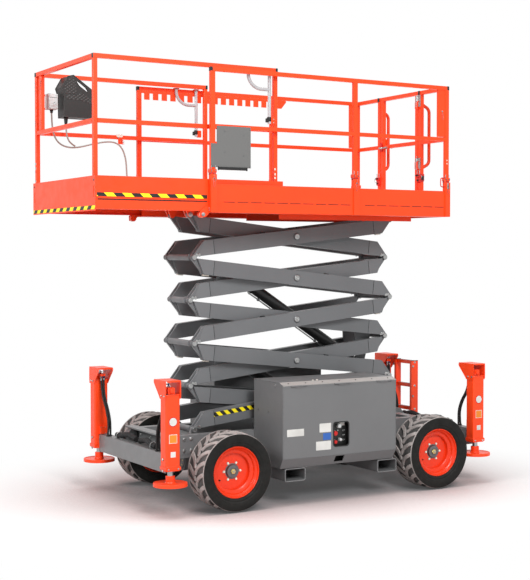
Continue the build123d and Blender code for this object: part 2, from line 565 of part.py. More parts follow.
# ================================================================ cabinets
def cabinets():
    top_y = CAB_OUT_Y - CAB_STRIP
    skin_y = CAB_OUT_Y - SHEET - GAP
    section = [(CAB_IN_Y, CAB_LOW), (CAB_LOW_Y, CAB_LOW), (CAB_OUT_Y, CAB_FOLD_Z), (skin_y, CAB_FOLD_Z),
               (skin_y, DOOR_PIN_Z), (CAB_OUT_Y, DOOR_PIN_Z), (CAB_OUT_Y, CAB_EDGE_TOP), (top_y, CAB_TOP),
               (CAB_IN_Y, CAB_TOP)]
    inside = [(CAB_IN_Y + SHEET, CAB_LOW + SHEET), (CAB_LOW_Y - SHEET, CAB_LOW + SHEET),
              (CAB_OUT_Y - 3 * SHEET, CAB_FOLD_Z), (CAB_OUT_Y - 3 * SHEET, CAB_EDGE_TOP - SHEET),
              (top_y - SHEET, CAB_TOP - SHEET), (CAB_IN_Y + SHEET, CAB_TOP - SHEET)]
    shell = prism_x(section, CAB_REAR_X, CAB_FRONT_X) - prism_x(inside, CAB_REAR_X + SHEET, CAB_FRONT_X - SHEET)
    mouth = box(CAB_REAR_X + 30, CAB_FRONT_X - 30, CAB_OUT_Y - 30, CAB_OUT_Y + 30, CAB_FOLD_Z + 30, CAB_EDGE_TOP - 45)
    slot = box(-30, 63, CAB_LOW_Y - 10, CAB_OUT_Y + 10, CAB_FOLD_Z - 62, CAB_FOLD_Z - 8)
    fixed = shell - mouth
    door = box(CAB_REAR_X, CAB_FRONT_X, CAB_OUT_Y - SHEET, CAB_OUT_Y, CAB_FOLD_Z + GAP, DOOR_PIN_Z - GAP)
    door += box(CAB_REAR_X + 34, CAB_FRONT_X - 34, CAB_OUT_Y - 22, CAB_OUT_Y - SHEET, CAB_FOLD_Z + 34, CAB_FOLD_Z + 38)
    window = box(WINDOW_X[0], WINDOW_X[1], CAB_OUT_Y - 40, CAB_OUT_Y + 20, WINDOW_Z[0], WINDOW_Z[1])
    window = fillet(window.edges().filter_by(Axis.Y), WINDOW_ROUND)
    for x in DOOR_HINGES_X:
        x1 = x + DOOR_BARREL_L
        door += box(x, x1, CAB_OUT_Y - 1, DOOR_PIN_Y, DOOR_PIN_Z - 14, DOOR_PIN_Z)
        door += pin_x(DOOR_PIN_Y, DOOR_PIN_Z, x, x1, DOOR_BARREL_R)
        door -= pin_x(DOOR_PIN_Y, DOOR_PIN_Z, x, x1, DOOR_PIN_R + FIT)
        for end in (x - DOOR_BARREL_L / 2, x1 + GAP):
            stop = end + DOOR_BARREL_L / 2 - GAP
            door -= box(end - GAP, stop + GAP, CAB_OUT_Y - SHEET - 1, CAB_OUT_Y + 1, DOOR_PIN_Z - 8, DOOR_PIN_Z)
            fixed += pin_x(DOOR_PIN_Y, DOOR_PIN_Z, end, stop, DOOR_BARREL_R)
            fixed += box(end, stop, skin_y, DOOR_PIN_Y, DOOR_PIN_Z, CAB_EDGE_TOP)
        fixed += pin_x(DOOR_PIN_Y, DOOR_PIN_Z, x - DOOR_BARREL_L / 2, x1 + DOOR_BARREL_L / 2, DOOR_PIN_R)
    keep("cabinet_left", fixed - slot)
    keep("cabinet_right", other_side(fixed))
    keep("cabinet_door_left", door - window)
    keep("cabinet_door_right", other_side(door))

    floor, deep = CAB_LOW + SHEET, CAB_OUT_Y - 50
    middle, tall = (WINDOW_X[0] + WINDOW_X[1]) / 2, WINDOW_Z[1] + 30
    panel = box(middle - 110, middle + 110, deep - 100, deep, WINDOW_Z[0] - 30, tall)
    panel += box(middle - 110, middle + 110, deep - 100, deep - 60, floor, WINDOW_Z[0] - 30)
    knob_x = WINDOW_X[1] - 34
    for z, radius in ((WINDOW_Z[1] - 96, 21), (WINDOW_Z[0] + 30, 17)):
        panel += pin_y(knob_x, z, deep - 2, deep + 12, radius * 0.55) + pin_y(knob_x, z, deep + 10, deep + 24, radius)
    keep("ground_controls", panel)
    keep("battery_pack", box(CAB_REAR_X + 50, CAB_FRONT_X - 55, -CAB_OUT_Y + 70, -CAB_IN_Y - 65, floor, floor + 484))
    keep("hydraulic_unit", box(middle + 170, CAB_FRONT_X - 55, CAB_IN_Y + 65, CAB_OUT_Y - 90, floor, floor + 484))


def ladder():
    """Two side channels on the rear beam, with rungs between them."""
    x1 = -BEAM_X - BEAM_D
    x0 = x1 - LADDER_D
    left, right = LADDER_Y, LADDER_Y - LADDER_W
    frame = box(x0, x1, left - 5, left, LADDER_LOW, LADDER_TOP) + box(x0, x1, right, right + 5, LADDER_LOW, LADDER_TOP)
    frame += box(x1 - 5, x1, left - 30, left, LADDER_LOW, LADDER_TOP)
    frame += box(x1 - 5, x1, right, right + 30, LADDER_LOW, LADDER_TOP)
    step = (LADDER_TOP - LADDER_LOW - RUNG_H) / 3
    for n in range(4):
        z = LADDER_LOW + 18 + n * (step - 6)
        frame += box(x0 + 18, x1 - 22, right, left, z, z + RUNG_H)
    keep("entry_ladder", frame)


# ================================================================ platform
def platform_deck():
    """The main deck: side plates, cross bars, and the two tracks that the top rollers run under."""
    deck = box(DECK_REAR, DECK_FRONT, -655, 655, FLOOR_Z - FLOOR_T, FLOOR_Z)
    track_low = TOP_PIN_Z + ROLLER_R + GAP
    side = [(DECK_Y - PLATE, TOE_TOP), (DECK_Y, TOE_TOP), (DECK_Y, DECK_LOW), (600, DECK_LOW), (600, FLOOR_Z - 4),
            (610, FLOOR_Z - 4), (610, DECK_LOW + 8), (DECK_Y - PLATE, DECK_LOW + 8)]
    edge = prism_x(side, DECK_REAR, DECK_FRONT)
    deck += edge + other_side(edge)
    post_y = DECK_Y - PLATE - POST_T
    deck += box(DECK_REAR, DECK_REAR + PLATE, -post_y, post_y, DECK_LOW, FLOOR_Z)
    for x in (-1150, -700, 1000, 1160):
        deck += box(x, x + 40, -610, 610, track_low + 5, FLOOR_Z)
    middle = OUTER_Y + ARM_W / 2
    track = box(TRACK_X[0] - 60, TRACK_X[1] + 60, middle - 24, middle + 24, track_low, FLOOR_Z - 5)
    track += box(TRACK_X[0] - 60, TRACK_X[1] + 60, OUTER_Y + ARM_W + 8, OUTER_Y + ARM_W + 14, DECK_LOW - 34, FLOOR_Z - 5)
    for y in (INNER_Y, INNER_Y + ARM_W - CHEEK):
        lug = slab([(FRONT_PIN_X - LUG_R, TOP_PIN_Z), (FRONT_PIN_X + LUG_R, TOP_PIN_Z),
                    (FRONT_PIN_X + 60, FLOOR_Z - 8), (FRONT_PIN_X - 60, FLOOR_Z - 8)], y, y + CHEEK)
        track += lug + pin_y(FRONT_PIN_X, TOP_PIN_Z, y, y + CHEEK, LUG_R)
    track += pin_y(FRONT_PIN_X, TOP_PIN_Z, INNER_Y, INNER_Y + ARM_W, PIN_R)
    sleeves = []
    for x in POSTS_X:
        rib = box(x - 5, x + POST + 5, DECK_Y, DECK_Y + SLEEVE_T, DECK_LOW, TOE_TOP)
        cup = box(x - 5, x + POST + 5, DECK_Y - PLATE - POST_T, DECK_Y + SLEEVE_T, TOE_TOP, SLEEVE_TOP)
        cup -= box(x - GAP, x + POST + GAP, 0, DECK_Y - PLATE + GAP, TOE_TOP - 1, SLEEVE_TOP + 1)
        sleeves += both_sides(rib + cup)
    deck += track + other_side(track)
    for sleeve in sleeves:
        deck += sleeve
    keep("platform_deck", deck)


def platform_rails():
    """Posts, rails, gate and what hangs on them."""
    y1 = DECK_Y - PLATE
    y0 = y1 - POST_T
    under = RAIL_TOP_Z - RAIL_H
    mid0, mid1 = MID_RAIL_Z - MID_H / 2, MID_RAIL_Z + MID_H / 2
    gate_x = DECK_REAR + PLATE
    inner_x = gate_x + GATE_D
    hinge_zs = (FLOOR_Z + HINGE_UP - 40, under - HINGE_DOWN - HINGE_L)
    corner_x = DECK_REAR + POST
    posts = []
    for x in POSTS_X:
        post = box(x, x + POST, y0, y1, DECK_LOW + 8, under)
        if x == DECK_REAR:
            post += box(corner_x - 1, corner_x + GUSSET_W, y0 + 4, y1 - 4, mid1 + 4, under)
        posts += both_sides(post)
    for y in GATE_Y:
        post = box(gate_x, inner_x, y - POST / 2, y + POST / 2, FLOOR_Z, under)
        if y == GATE_Y[1]:
            for z in hinge_zs:
                for ear_z in (z - GAP - 8, z + HINGE_L + GAP):
                    post += pin_z(GATE_PIN_X, GATE_PIN_Y, ear_z, ear_z + 8, 6.5)
                    post += box(inner_x - 1, GATE_PIN_X + 6, GATE_PIN_Y, y, ear_z, ear_z + 8)
                post += pin_z(GATE_PIN_X, GATE_PIN_Y, z - 8, z + HINGE_L + 8, 5)
        posts.append(post)
    keep("platform_posts", *posts)
    tops = both_sides(box(DECK_REAR, DECK_FRONT, y0, y1, under, RAIL_TOP_Z))
    tops.append(box(gate_x, inner_x, GATE_Y[1] - POST / 2, y0, under, RAIL_TOP_Z))
    tops.append(box(gate_x, inner_x, -y0, GATE_Y[0] + POST / 2, under, RAIL_TOP_Z))
    keep("platform_top_rails", *tops)
    mids = both_sides(box(corner_x, MID_POST_X, y0 + 3, y1 - 3, mid0, mid1))
    mids += both_sides(box(MID_POST_X + POST, DECK_FRONT - POST, y0 + 3, y1 - 3, mid0, mid1))
    mids.append(box(gate_x, inner_x, GATE_Y[1] + POST / 2, y0, mid0, mid1))
    mids.append(box(gate_x, inner_x, -y0, GATE_Y[0] - POST / 2, mid0, mid1))
    keep("platform_mid_rails", *mids)

    a, b = GATE_Y[0] + POST / 2 + 6, GATE_Y[1] - POST / 2 - 6
    gate = box(gate_x, inner_x, a, b, under, RAIL_TOP_Z) + box(gate_x, inner_x, a, b, mid0, mid1)
    gate += box(gate_x, inner_x, a, b, FLOOR_Z + 10, FLOOR_Z + 150)
    gate += box(gate_x, inner_x, a, a + POST, FLOOR_Z + 10, RAIL_TOP_Z)
    gate += box(gate_x, inner_x, b - POST, b, FLOOR_Z + 10, RAIL_TOP_Z)
    for z in hinge_zs:
        gate += pin_z(GATE_PIN_X, GATE_PIN_Y, z, z + HINGE_L, 8)
        gate += box(inner_x - 1, GATE_PIN_X, GATE_PIN_Y - 8, b, z, z + HINGE_L)
        gate += box(inner_x - 1, inner_x + 4, b - POST, b, z, z + HINGE_L)
        gate -= pin_z(GATE_PIN_X, GATE_PIN_Y, z, z + HINGE_L, 5 + FIT)
    keep("entry_gate", gate)

    grabs = []
    for y in GATE_Y:
        x0, x1 = gate_x, gate_x - GRAB_OUT
        route = [(x0, y, GRAB_Z[0]), (x1, y, GRAB_Z[0] + 40), (x1, y, GRAB_Z[1] - 40), (x0, y, GRAB_Z[1])]
        grabs.append(bent_tube(route, (60, 60), GRAB_R) - box(x0, x0 + 60, y - 40, y + 40, FLOOR_Z, under))
    keep("grab_handles", *grabs)

    rack_top = under - 32
    rack = box(RACK_X[0], RACK_X[1], -y0, -y0 + RACK_T, rack_top - 50, rack_top + 31)
    teeth = int((RACK_X[1] - RACK_X[0]) / RACK_PITCH)
    for n in range(teeth):
        x = RACK_X[1] - 40 - n * RACK_PITCH
        rack -= box(x - RACK_SLOT, x, -y0 - 1, -y0 + RACK_T + 1, rack_top - 51, rack_top - 51 + RACK_SLOT_H)
    tip = RACK_X[0]
    rack -= slab([(tip - 1, rack_top - 51), (tip + 56, rack_top - 51), (tip - 1, rack_top + 20)], -y0 - 1, -y0 + RACK_T + 1)
    keep("rail_rack", rack)
    low, top = MID_RAIL_Z - 335, MID_RAIL_Z + 4
    keep("document_plate", slab([(837, low), (DECK_FRONT, low), (DECK_FRONT, low + 194), (1155, low + 194), (1155, top),
                                 (837, top)], y1, y1 + 5))


def deck_rollers():
    """Two brackets at the front corners of the main deck, with the rollers that carry the roll-out deck."""
    inner, outer = 652, EXT_Y + 6
    x, z = DECK_FRONT + 62, EXT_LOW - DECK_ROLLER_R - GAP
    arm = [(DECK_FRONT, FLOOR_Z - 40), (DECK_FRONT, DECK_LOW), (x - 24, z - 22), (x + 22, z - 22), (x + 26, z + 20),
           (DECK_FRONT + 34, FLOOR_Z - 40)]
    bracket = slab(arm, outer, outer + 6) + box(DECK_FRONT, DECK_FRONT + 6, outer, DECK_Y, DECK_LOW, FLOOR_Z - 40)
    bracket += pin_y(x, z, inner - 6, outer + 14, 8) + pin_y(x, z, inner, outer - 8, DECK_ROLLER_R)
    keep("deck_rollers", *both_sides(bracket))


# ================================================================ roll-out deck
def extension():
    deck = box(EXT_REAR, EXT_FRONT, -EXT_Y, EXT_Y, EXT_FLOOR_Z - 10, EXT_FLOOR_Z)
    seam = EXT_FLOOR_Z - 4
    side = [(EXT_Y - PLATE, EXT_TOE_TOP), (EXT_Y, EXT_TOE_TOP), (EXT_Y, seam + 8), (EXT_Y - PLATE, seam + 2),
            (EXT_Y - PLATE, seam - 12), (EXT_Y, seam - 14), (EXT_Y, EXT_LOW), (EXT_Y - 38, EXT_LOW),
            (EXT_Y - 38, EXT_LOW + PLATE), (EXT_Y - 2 * PLATE, EXT_LOW + PLATE), (EXT_Y - 2 * PLATE, EXT_TOE_TOP)]
    edge = prism_x(side, EXT_REAR, EXT_FRONT - PLATE)
    deck += edge + other_side(edge)
    deck += box(EXT_FRONT - PLATE, EXT_FRONT, -EXT_Y, EXT_Y, DECK_LOW, EXT_TOE_TOP)
    deck += box(EXT_FRONT - 44, EXT_FRONT - PLATE, -EXT_Y + 2, EXT_Y - 2, EXT_FLOOR_Z - 60, EXT_FLOOR_Z)
    for y0 in (-620, 600):
        deck += box(EXT_REAR, EXT_REAR + 300, y0, y0 + 20, FLOOR_Z + GAP, EXT_FLOOR_Z - 10)
    under = EXT_TOP_Z - RAIL_H
    y1, y0 = EXT_RAIL_Y, EXT_RAIL_Y - EXT_POST
    front = EXT_FRONT - PLATE
    mid0, mid1 = MID_RAIL_Z - 15, MID_RAIL_Z + 19
    posts, tops, mids = [], [], []
    for x in (front - EXT_POST, EXT_RAIL_REAR):
        posts += both_sides(box(x, x + EXT_POST, y0, y1, EXT_FLOOR_Z, under))
        if x == front - EXT_POST:
            continue
        socket = box(x - 8, x + EXT_POST + 8, y0 - 8, y1 + 8, EXT_FLOOR_Z - 1, EXT_FLOOR_Z + 110)
        socket -= box(x - GAP, x + EXT_POST + GAP, y0 - GAP, y1 + GAP, EXT_FLOOR_Z, EXT_FLOOR_Z + 111)
        deck += socket + other_side(socket)
    keep("extension_deck", deck)
    outlet_low, outlet_x = EXT_TOP_Z - OUTLET_DOWN, front - EXT_POST - OUTLET_GAP
    posts[1] += box(outlet_x - OUTLET_L, front - EXT_POST, -y0 - PLATE, -y0, outlet_low - 12, outlet_low + OUTLET_H + 12)
    keep("extension_posts", *posts)
    tops += both_sides(box(EXT_RAIL_REAR, front, y0, y1, under, EXT_TOP_Z))
    mids += both_sides(box(EXT_RAIL_REAR + EXT_POST, front - EXT_POST, y0, y1, mid0, mid1))
    tops.append(box(front - EXT_POST, front, -y0, y0, under, EXT_TOP_Z))
    mids.append(box(front - EXT_POST, front, -y0, y0, mid0, mid1))
    keep("extension_top_rails", *tops)
    keep("extension_mid_rails", *mids)

    rear, top = EXT_FRONT - CONTROL_BACK, EXT_TOP_Z - 19
    nose, low = rear + CONTROL_L, top - CONTROL_H
    ridge, brow = (nose - 85, top), (nose - 32, top - 14)
    slope = (top - low) * 0.365                     # how far the sloped top falls to the rear end
    outline = [(rear, low), (nose, low), (nose, low + 175), (nose + 25, low + 250), brow, ridge, (rear, top - slope)]
    control = slab(outline, -y0 + GAP, -y0 + CONTROL_D)
    grip_x, grip_z = nose - 120, top - 70
    grip = [(grip_x - 9, grip_z - 10), (grip_x + 9, grip_z + 15), (grip_x - 70, grip_z - 38), (grip_x - 88, grip_z - 63)]
    control -= slab([grip[0], grip[1], grip[2], grip[3]][::-1], -y0, -y0 + CONTROL_D + 50)
    keep("control_box", control)
    outlet = box(outlet_x - OUTLET_L, outlet_x, -y0 + GAP, -y0 + OUTLET_D, outlet_low, outlet_low + OUTLET_H)
    keep("outlet_box", outlet)

    handles = []
    y = (EXT_RAIL_Y + DECK_Y - PLATE - POST_T) / 2 - 4
    handle = pin_z(LATCH_X, y, under - 400, under - 20, LATCH_TUBE_R)
    loop = [(LATCH_X + 6, y, under - HOOK_DOWN), (LATCH_X + HOOK_OUT - 14, y, under - HOOK_DOWN + 4),
            (LATCH_X + HOOK_OUT, y, under - 20)]
    handle += bent_tube(loop, (80,), LATCH_TUBE_R)
    handle += box(EXT_RAIL_REAR + EXT_POST, LATCH_X, y0 + 8, y1 - 8, under - 420, under - 380)
    handle += box(LATCH_X - 14, LATCH_X + 14, y0 + 8, y + LATCH_TUBE_R, under - 440, under - 390)
    handle += pin_z(LATCH_X, y, under - 470, under - 390, 9)
    keep("latch_handles", *both_sides(handle))

    r = CABLE_R
    x, y = outlet_x - OUTLET_L / 2, -y0 + OUTLET_D / 2
    cable = [(x, y, outlet_low - SEAT), (x - 2, y, outlet_low - 98), (x - 13, y - 1, outlet_low - 200),
             (x - 57, y - 3, outlet_low - 284), (x - 145, y - 5, outlet_low - 322), (x - 255, y - 6, outlet_low - 316),
             (x - 385, y - 8, outlet_low - 280), (x - 505, y - 10, outlet_low - 254), (x - 595, y - 10, outlet_low - 252),
             (x - 662, y - 8, outlet_low - 290), (x - 702, y - 6, outlet_low - 384), (x - 713, y - 6, outlet_low - 512),
             (x - 715, y - 7, outlet_low - 660), (x - 713, y - 8, EXT_FLOOR_Z + SEAT)]
    x, y = nose - 40, -y0 + 82
    second = [(x, y, low - SEAT), (x - 1, y - 2, low - 76), (x - 10, y - 10, low - 152), (x - 40, y - 20, low - 216),
              (x - 94, y - 26, low - 242)]
    keep("platform_cables", soft_route(cable, r), soft_route(second, r))


def build():
    scissor_arms()
    lift_cylinders()
    chassis()
    hoses(outriggers())
    wheels()
    cabinets()
    ladder()
    platform_deck()
    platform_rails()
    deck_rollers()
    extension()
    os.makedirs("parts", exist_ok=True)
    shift = Pos(-MIDDLE_X, 0, 0)
    for name, solids in NODES.items():
        moved = [shift * solid for solid in solids]
        export_step(moved[0] if len(moved) == 1 else Compound(children=moved), f"parts/{name}.step")


build()
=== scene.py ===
"""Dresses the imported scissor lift: materials, tyres, fasteners, hoses, plates and the studio it stands in."""
import math
from functools import partial
from itertools import product
import bpy
from mathutils import Matrix, Vector


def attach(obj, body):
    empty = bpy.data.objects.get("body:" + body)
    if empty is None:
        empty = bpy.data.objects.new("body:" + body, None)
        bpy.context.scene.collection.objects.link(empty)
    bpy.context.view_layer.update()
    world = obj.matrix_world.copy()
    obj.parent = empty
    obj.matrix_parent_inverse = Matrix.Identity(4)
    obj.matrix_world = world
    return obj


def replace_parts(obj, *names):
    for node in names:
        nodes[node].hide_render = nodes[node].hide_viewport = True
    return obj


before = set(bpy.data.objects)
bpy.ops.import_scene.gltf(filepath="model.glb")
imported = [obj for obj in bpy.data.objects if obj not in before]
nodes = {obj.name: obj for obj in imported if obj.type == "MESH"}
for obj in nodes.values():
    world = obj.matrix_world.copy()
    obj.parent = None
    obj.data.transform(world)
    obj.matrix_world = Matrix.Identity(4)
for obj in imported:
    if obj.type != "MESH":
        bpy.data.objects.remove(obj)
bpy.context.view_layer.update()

MIDDLE_X = 0.249          # the drawing's x minus the frame's x
PI = math.pi
shift = Matrix.Translation
CAMERA_AT = (6.0954 - MIDDLE_X, 9.9164, 2.1165)
CAMERA_YAW, CAMERA_PITCH = math.radians(-120.52), math.radians(-1.752)
CAMERA_LENS, CAMERA_SHIFT = 78.937, (-0.00355, 0.0058)


# ================================================================ camera
camera = bpy.data.objects.new("camera", bpy.data.cameras.new("camera"))
bpy.context.scene.collection.objects.link(camera)
bpy.context.scene.camera = camera
camera.location = CAMERA_AT
level_part = math.cos(CAMERA_PITCH)
heading = Vector((math.cos(CAMERA_YAW) * level_part, math.sin(CAMERA_YAW) * level_part, math.sin(CAMERA_PITCH)))
camera.rotation_mode = "QUATERNION"
camera.rotation_quaternion = heading.to_track_quat("-Z", "Y")
camera.data.sensor_width = 36
camera.data.lens = CAMERA_LENS
camera.data.shift_x, camera.data.shift_y = CAMERA_SHIFT
camera.data.clip_start, camera.data.clip_end = 0.1, 200


# ================================================================ materials
def srgb(*rgb):
    """Linear colour of an sRGB one given in 0 to 255."""
    out = [c / 255 / 12.92 if c <= 10 else ((c / 255 + 0.055) / 1.055) ** 2.4 for c in rgb]
    return (*out, 1.0)


def shade(colour, factor):
    return (*[min(1.0, c * factor) for c in colour[:3]], 1.0)


class Shader:
    """A material whose nodes are added one call at a time."""

    def __init__(self, name):
        self.mat = bpy.data.materials.new(name)
        self.mat.use_nodes = True
        self.tree = self.mat.node_tree
        self.bsdf = self.tree.nodes["Principled BSDF"]
        self.coord = self.node("ShaderNodeTexCoord").outputs["Object"]

    def node(self, kind, **values):
        made = self.tree.nodes.new(kind)
        for key, value in values.items():
            if hasattr(made, key):
                setattr(made, key, value)
            else:
                made.inputs[key.replace("_", " ")].default_value = value
        return made

    def link(self, out, into):
        self.tree.links.new(out, into)

    def set(self, **values):
        for key, value in values.items():
            self.bsdf.inputs[key.replace("_", " ")].default_value = value
        return self

    def noise(self, scale, detail=3.0, stretch=None):
        vector = self.coord
        if stretch:
            mapping = self.node("ShaderNodeMapping")
            mapping.inputs["Scale"].default_value = stretch
            self.link(vector, mapping.inputs["Vector"])
            vector = mapping.outputs["Vector"]
        made = self.node("ShaderNodeTexNoise", Scale=scale, Detail=detail)
        self.link(vector, made.inputs["Vector"])
        return made.outputs["Fac"]

    def ramp(self, fac, low, high, a, b):
        made = self.node("ShaderNodeMapRange", From_Min=low, From_Max=high, To_Min=a, To_Max=b)
        self.link(fac, made.inputs["Value"])
        return made.outputs["Result"]

    def mix(self, fac, a, b, blend="MIX"):
        made = self.node("ShaderNodeMix", data_type="RGBA", blend_type=blend)
        if isinstance(fac, float):
            made.inputs["Factor"].default_value = fac
        else:
            self.link(fac, made.inputs["Factor"])
        for value, slot in ((a, made.inputs["A"]), (b, made.inputs["B"])):
            socket = [s for s in made.inputs if s.identifier.startswith(slot.name) and s.type == "RGBA"][0]
            if isinstance(value, tuple):
                socket.default_value = value
            else:
                self.link(value, socket)
        return [s for s in made.outputs if s.type == "RGBA"][0]

    def cloud(self, scale, detail, stretch=None):
        """Soft patches from 0 to 1."""
        return self.ramp(self.noise(scale, detail, stretch), 0.3, 0.7, 0.0, 1.0)

    def colour(self, out):
        self.link(out, self.bsdf.inputs["Base Color"])

    def rough(self, scale, detail, low, high, stretch=None):
        """Patchy roughness between two values."""
        self.link(self.ramp(self.noise(scale, detail, stretch), 0.3, 0.7, low, high), self.bsdf.inputs["Roughness"])

    def bump(self, height, strength, distance=0.001):
        made = self.node("ShaderNodeBump", Strength=strength, Distance=distance)
        self.link(height, made.inputs["Height"])
        self.link(made.outputs["Normal"], self.bsdf.inputs["Normal"])

    def axis(self, name):
        made = self.node("ShaderNodeSeparateXYZ")
        self.link(self.coord, made.inputs["Vector"])
        return made.outputs[name]

    def math(self, operation, a, b=0.0):
        made = self.node("ShaderNodeMath", operation=operation)
        for value, socket in ((a, made.inputs[0]), (b, made.inputs[1])):
            if isinstance(value, (int, float)):
                socket.default_value = value
            else:
                self.link(value, socket)
        return made.outputs[0]


def paint(name, colour, rough=0.38, spread=0.07, peel=0.1, coat=0.15, dust=0.08, pale=(0.55, 0.53, 0.5, 1.0)):
    """Sprayed enamel: faint cloudy shifts, orange peel and chalk on faces that look up."""
    s = Shader(name).set(Metallic=0.0, Coat_Weight=coat, Coat_Roughness=0.22, Specular_IOR_Level=0.32)
    cloud = s.cloud(2.2, 4)
    base = s.mix(cloud, shade(colour, 1 - spread), shade(colour, 1 + spread))
    speck = s.ramp(s.noise(55, 5), 0.62, 0.74, 0.0, 0.1)
    base = s.mix(speck, base, shade(colour, 0.55))
    geometry = s.node("ShaderNodeNewGeometry")
    upward = s.node("ShaderNodeSeparateXYZ")
    s.link(geometry.outputs["Normal"], upward.inputs["Vector"])
    settled = s.math("MULTIPLY", s.ramp(upward.outputs["Z"], 0.5, 1.0, 0.0, dust),
                     s.ramp(s.noise(9, 4), 0.35, 0.65, 0.3, 1.0))
    base = s.mix(settled, base, pale)
    s.colour(base)
    s.rough(14, 4, rough - 0.05, rough + 0.09)
    s.bump(s.noise(320, 2), peel, 0.0006)
    return s.mat


def metal(name, colour, rough=0.3, grain=None, spread=0.12):
    s = Shader(name).set(Metallic=1.0)
    cloud = s.cloud(30, 4, grain)
    s.colour(s.mix(cloud, shade(colour, 1 - spread), shade(colour, 1 + spread * 0.5)))
    s.rough(70, 3, rough * 0.75, rough * 1.3, grain)
    s.bump(s.noise(400, 2, grain), 0.08, 0.0004)
    return s.mat


def plastic(name, colour, rough=0.5, grain=260.0, strength=0.25):
    s = Shader(name).set(Specular_IOR_Level=0.4)
    cloud = s.cloud(6, 3)
    s.colour(s.mix(cloud, shade(colour, 0.88), shade(colour, 1.12)))
    s.rough(20, 3, rough - 0.06, rough + 0.08)
    s.bump(s.noise(grain, 3), strength, 0.0005)
    return s.mat


def tread_rubber(name):
    """Black moulded rubber, chalky on the lug tops, with painted shade on the groove floors between the lugs. The
    object's origin is the wheel's centre and its axle is Y.
    """
    s = Shader(name).set(Specular_IOR_Level=0.3)
    x, z, y = s.axis("X"), s.axis("Z"), s.axis("Y")
    radius = s.math("SQRT", s.math("ADD", s.math("MULTIPLY", x, x), s.math("MULTIPLY", z, z)))
    across = s.math("ABSOLUTE", y)
    on_tread = s.math("MULTIPLY", s.ramp(radius, 0.3, 0.306, 0.0, 1.0), s.ramp(across, 0.1398, 0.1412, 1.0, 0.0))
    high = s.ramp(radius, 0.314, 0.319, 0.0, 1.0)
    # groove floors painted darker than the chalky lug tops: painted shade in the tread's recesses
    shaded_groove_colour, lug_colour = srgb(84, 83, 82), srgb(166, 159, 156)
    chalk_and_groove_shade = s.mix(high, shaded_groove_colour, lug_colour)
    patchy = s.ramp(s.noise(16, 5), 0.35, 0.68, 0.0, 1.0)
    chalk_and_groove_shade = s.mix(patchy, chalk_and_groove_shade, s.mix(high, shade(shaded_groove_colour, 0.7), shade(lug_colour, 0.78)))
    side = s.mix(s.cloud(9, 4), srgb(9, 9, 7), srgb(18, 17, 14))
    s.colour(s.mix(on_tread, side, chalk_and_groove_shade))
    s.rough(24, 4, 0.62, 0.82)
    s.bump(s.noise(190, 4), 0.35, 0.0008)
    return s.mat


def hazard(name, pitch, lean=1.0, along="X", up="Z"):
    """Yellow and black slanted stripes on tape, in the object's own axes."""
    s = Shader(name).set(Specular_IOR_Level=0.4)
    place = s.math("ADD", s.axis(along), s.math("MULTIPLY", s.axis(up), lean))
    stripe = s.math("GREATER_THAN", s.math("FRACT", s.math("DIVIDE", place, pitch)), 0.5)
    scuff = s.ramp(s.noise(45, 5), 0.6, 0.75, 0.0, 0.5)
    yellow = s.mix(scuff, srgb(246, 226, 22), srgb(196, 182, 60))
    black = s.mix(scuff, srgb(24, 24, 22), srgb(70, 68, 60))
    s.colour(s.mix(stripe, black, yellow))
    s.rough(18, 3, 0.35, 0.5)
    s.bump(s.noise(150, 3), 0.1, 0.0003)
    return s.mat


def braid(name, colour):
    """Woven sleeve over hoses, its raised strands painted lighter as a painted highlight and the grooves between them
    darker as painted shade.
    """
    s = Shader(name).set(Specular_IOR_Level=0.35)
    around = s.node("ShaderNodeTexWave", wave_type="BANDS", bands_direction="DIAGONAL", Scale=170.0, Distortion=1.5)
    s.link(s.coord, around.inputs["Vector"])
    weave = around.outputs["Fac"]
    # painted highlight on the raised weave and painted shade between the strands
    s.colour(s.mix(weave, shade(colour, 0.6), shade(colour, 1.7)))
    s.rough(40, 3, 0.55, 0.75)
    s.bump(weave, 0.5, 0.001)
    return s.mat


def diamond(name, colour):
    """Moulded plastic with a raised diamond grid, seen along Y; the raised diamonds are painted lighter as a painted
    highlight and the hollows between them darker as painted shade.
    """
    s = Shader(name).set(Specular_IOR_Level=0.45)
    x, z = s.axis("X"), s.axis("Z")
    a = s.math("ABSOLUTE", s.math("SINE", s.math("MULTIPLY", s.math("ADD", x, s.math("MULTIPLY", z, 1.4)), 82.0)))
    b = s.math("ABSOLUTE", s.math("SINE", s.math("MULTIPLY", s.math("SUBTRACT", x, s.math("MULTIPLY", z, 1.4)),
                                                 82.0)))
    stud = s.ramp(s.math("MULTIPLY", a, b), 0.25, 0.75, 0.0, 1.0)
    # painted highlight on the raised diamonds and painted shade in the hollows between them
    s.colour(s.mix(stud, shade(colour, 0.55), shade(colour, 1.6)))
    s.rough(20, 3, 0.38, 0.5)
    s.bump(stud, 0.7, 0.0015)
    return s.mat


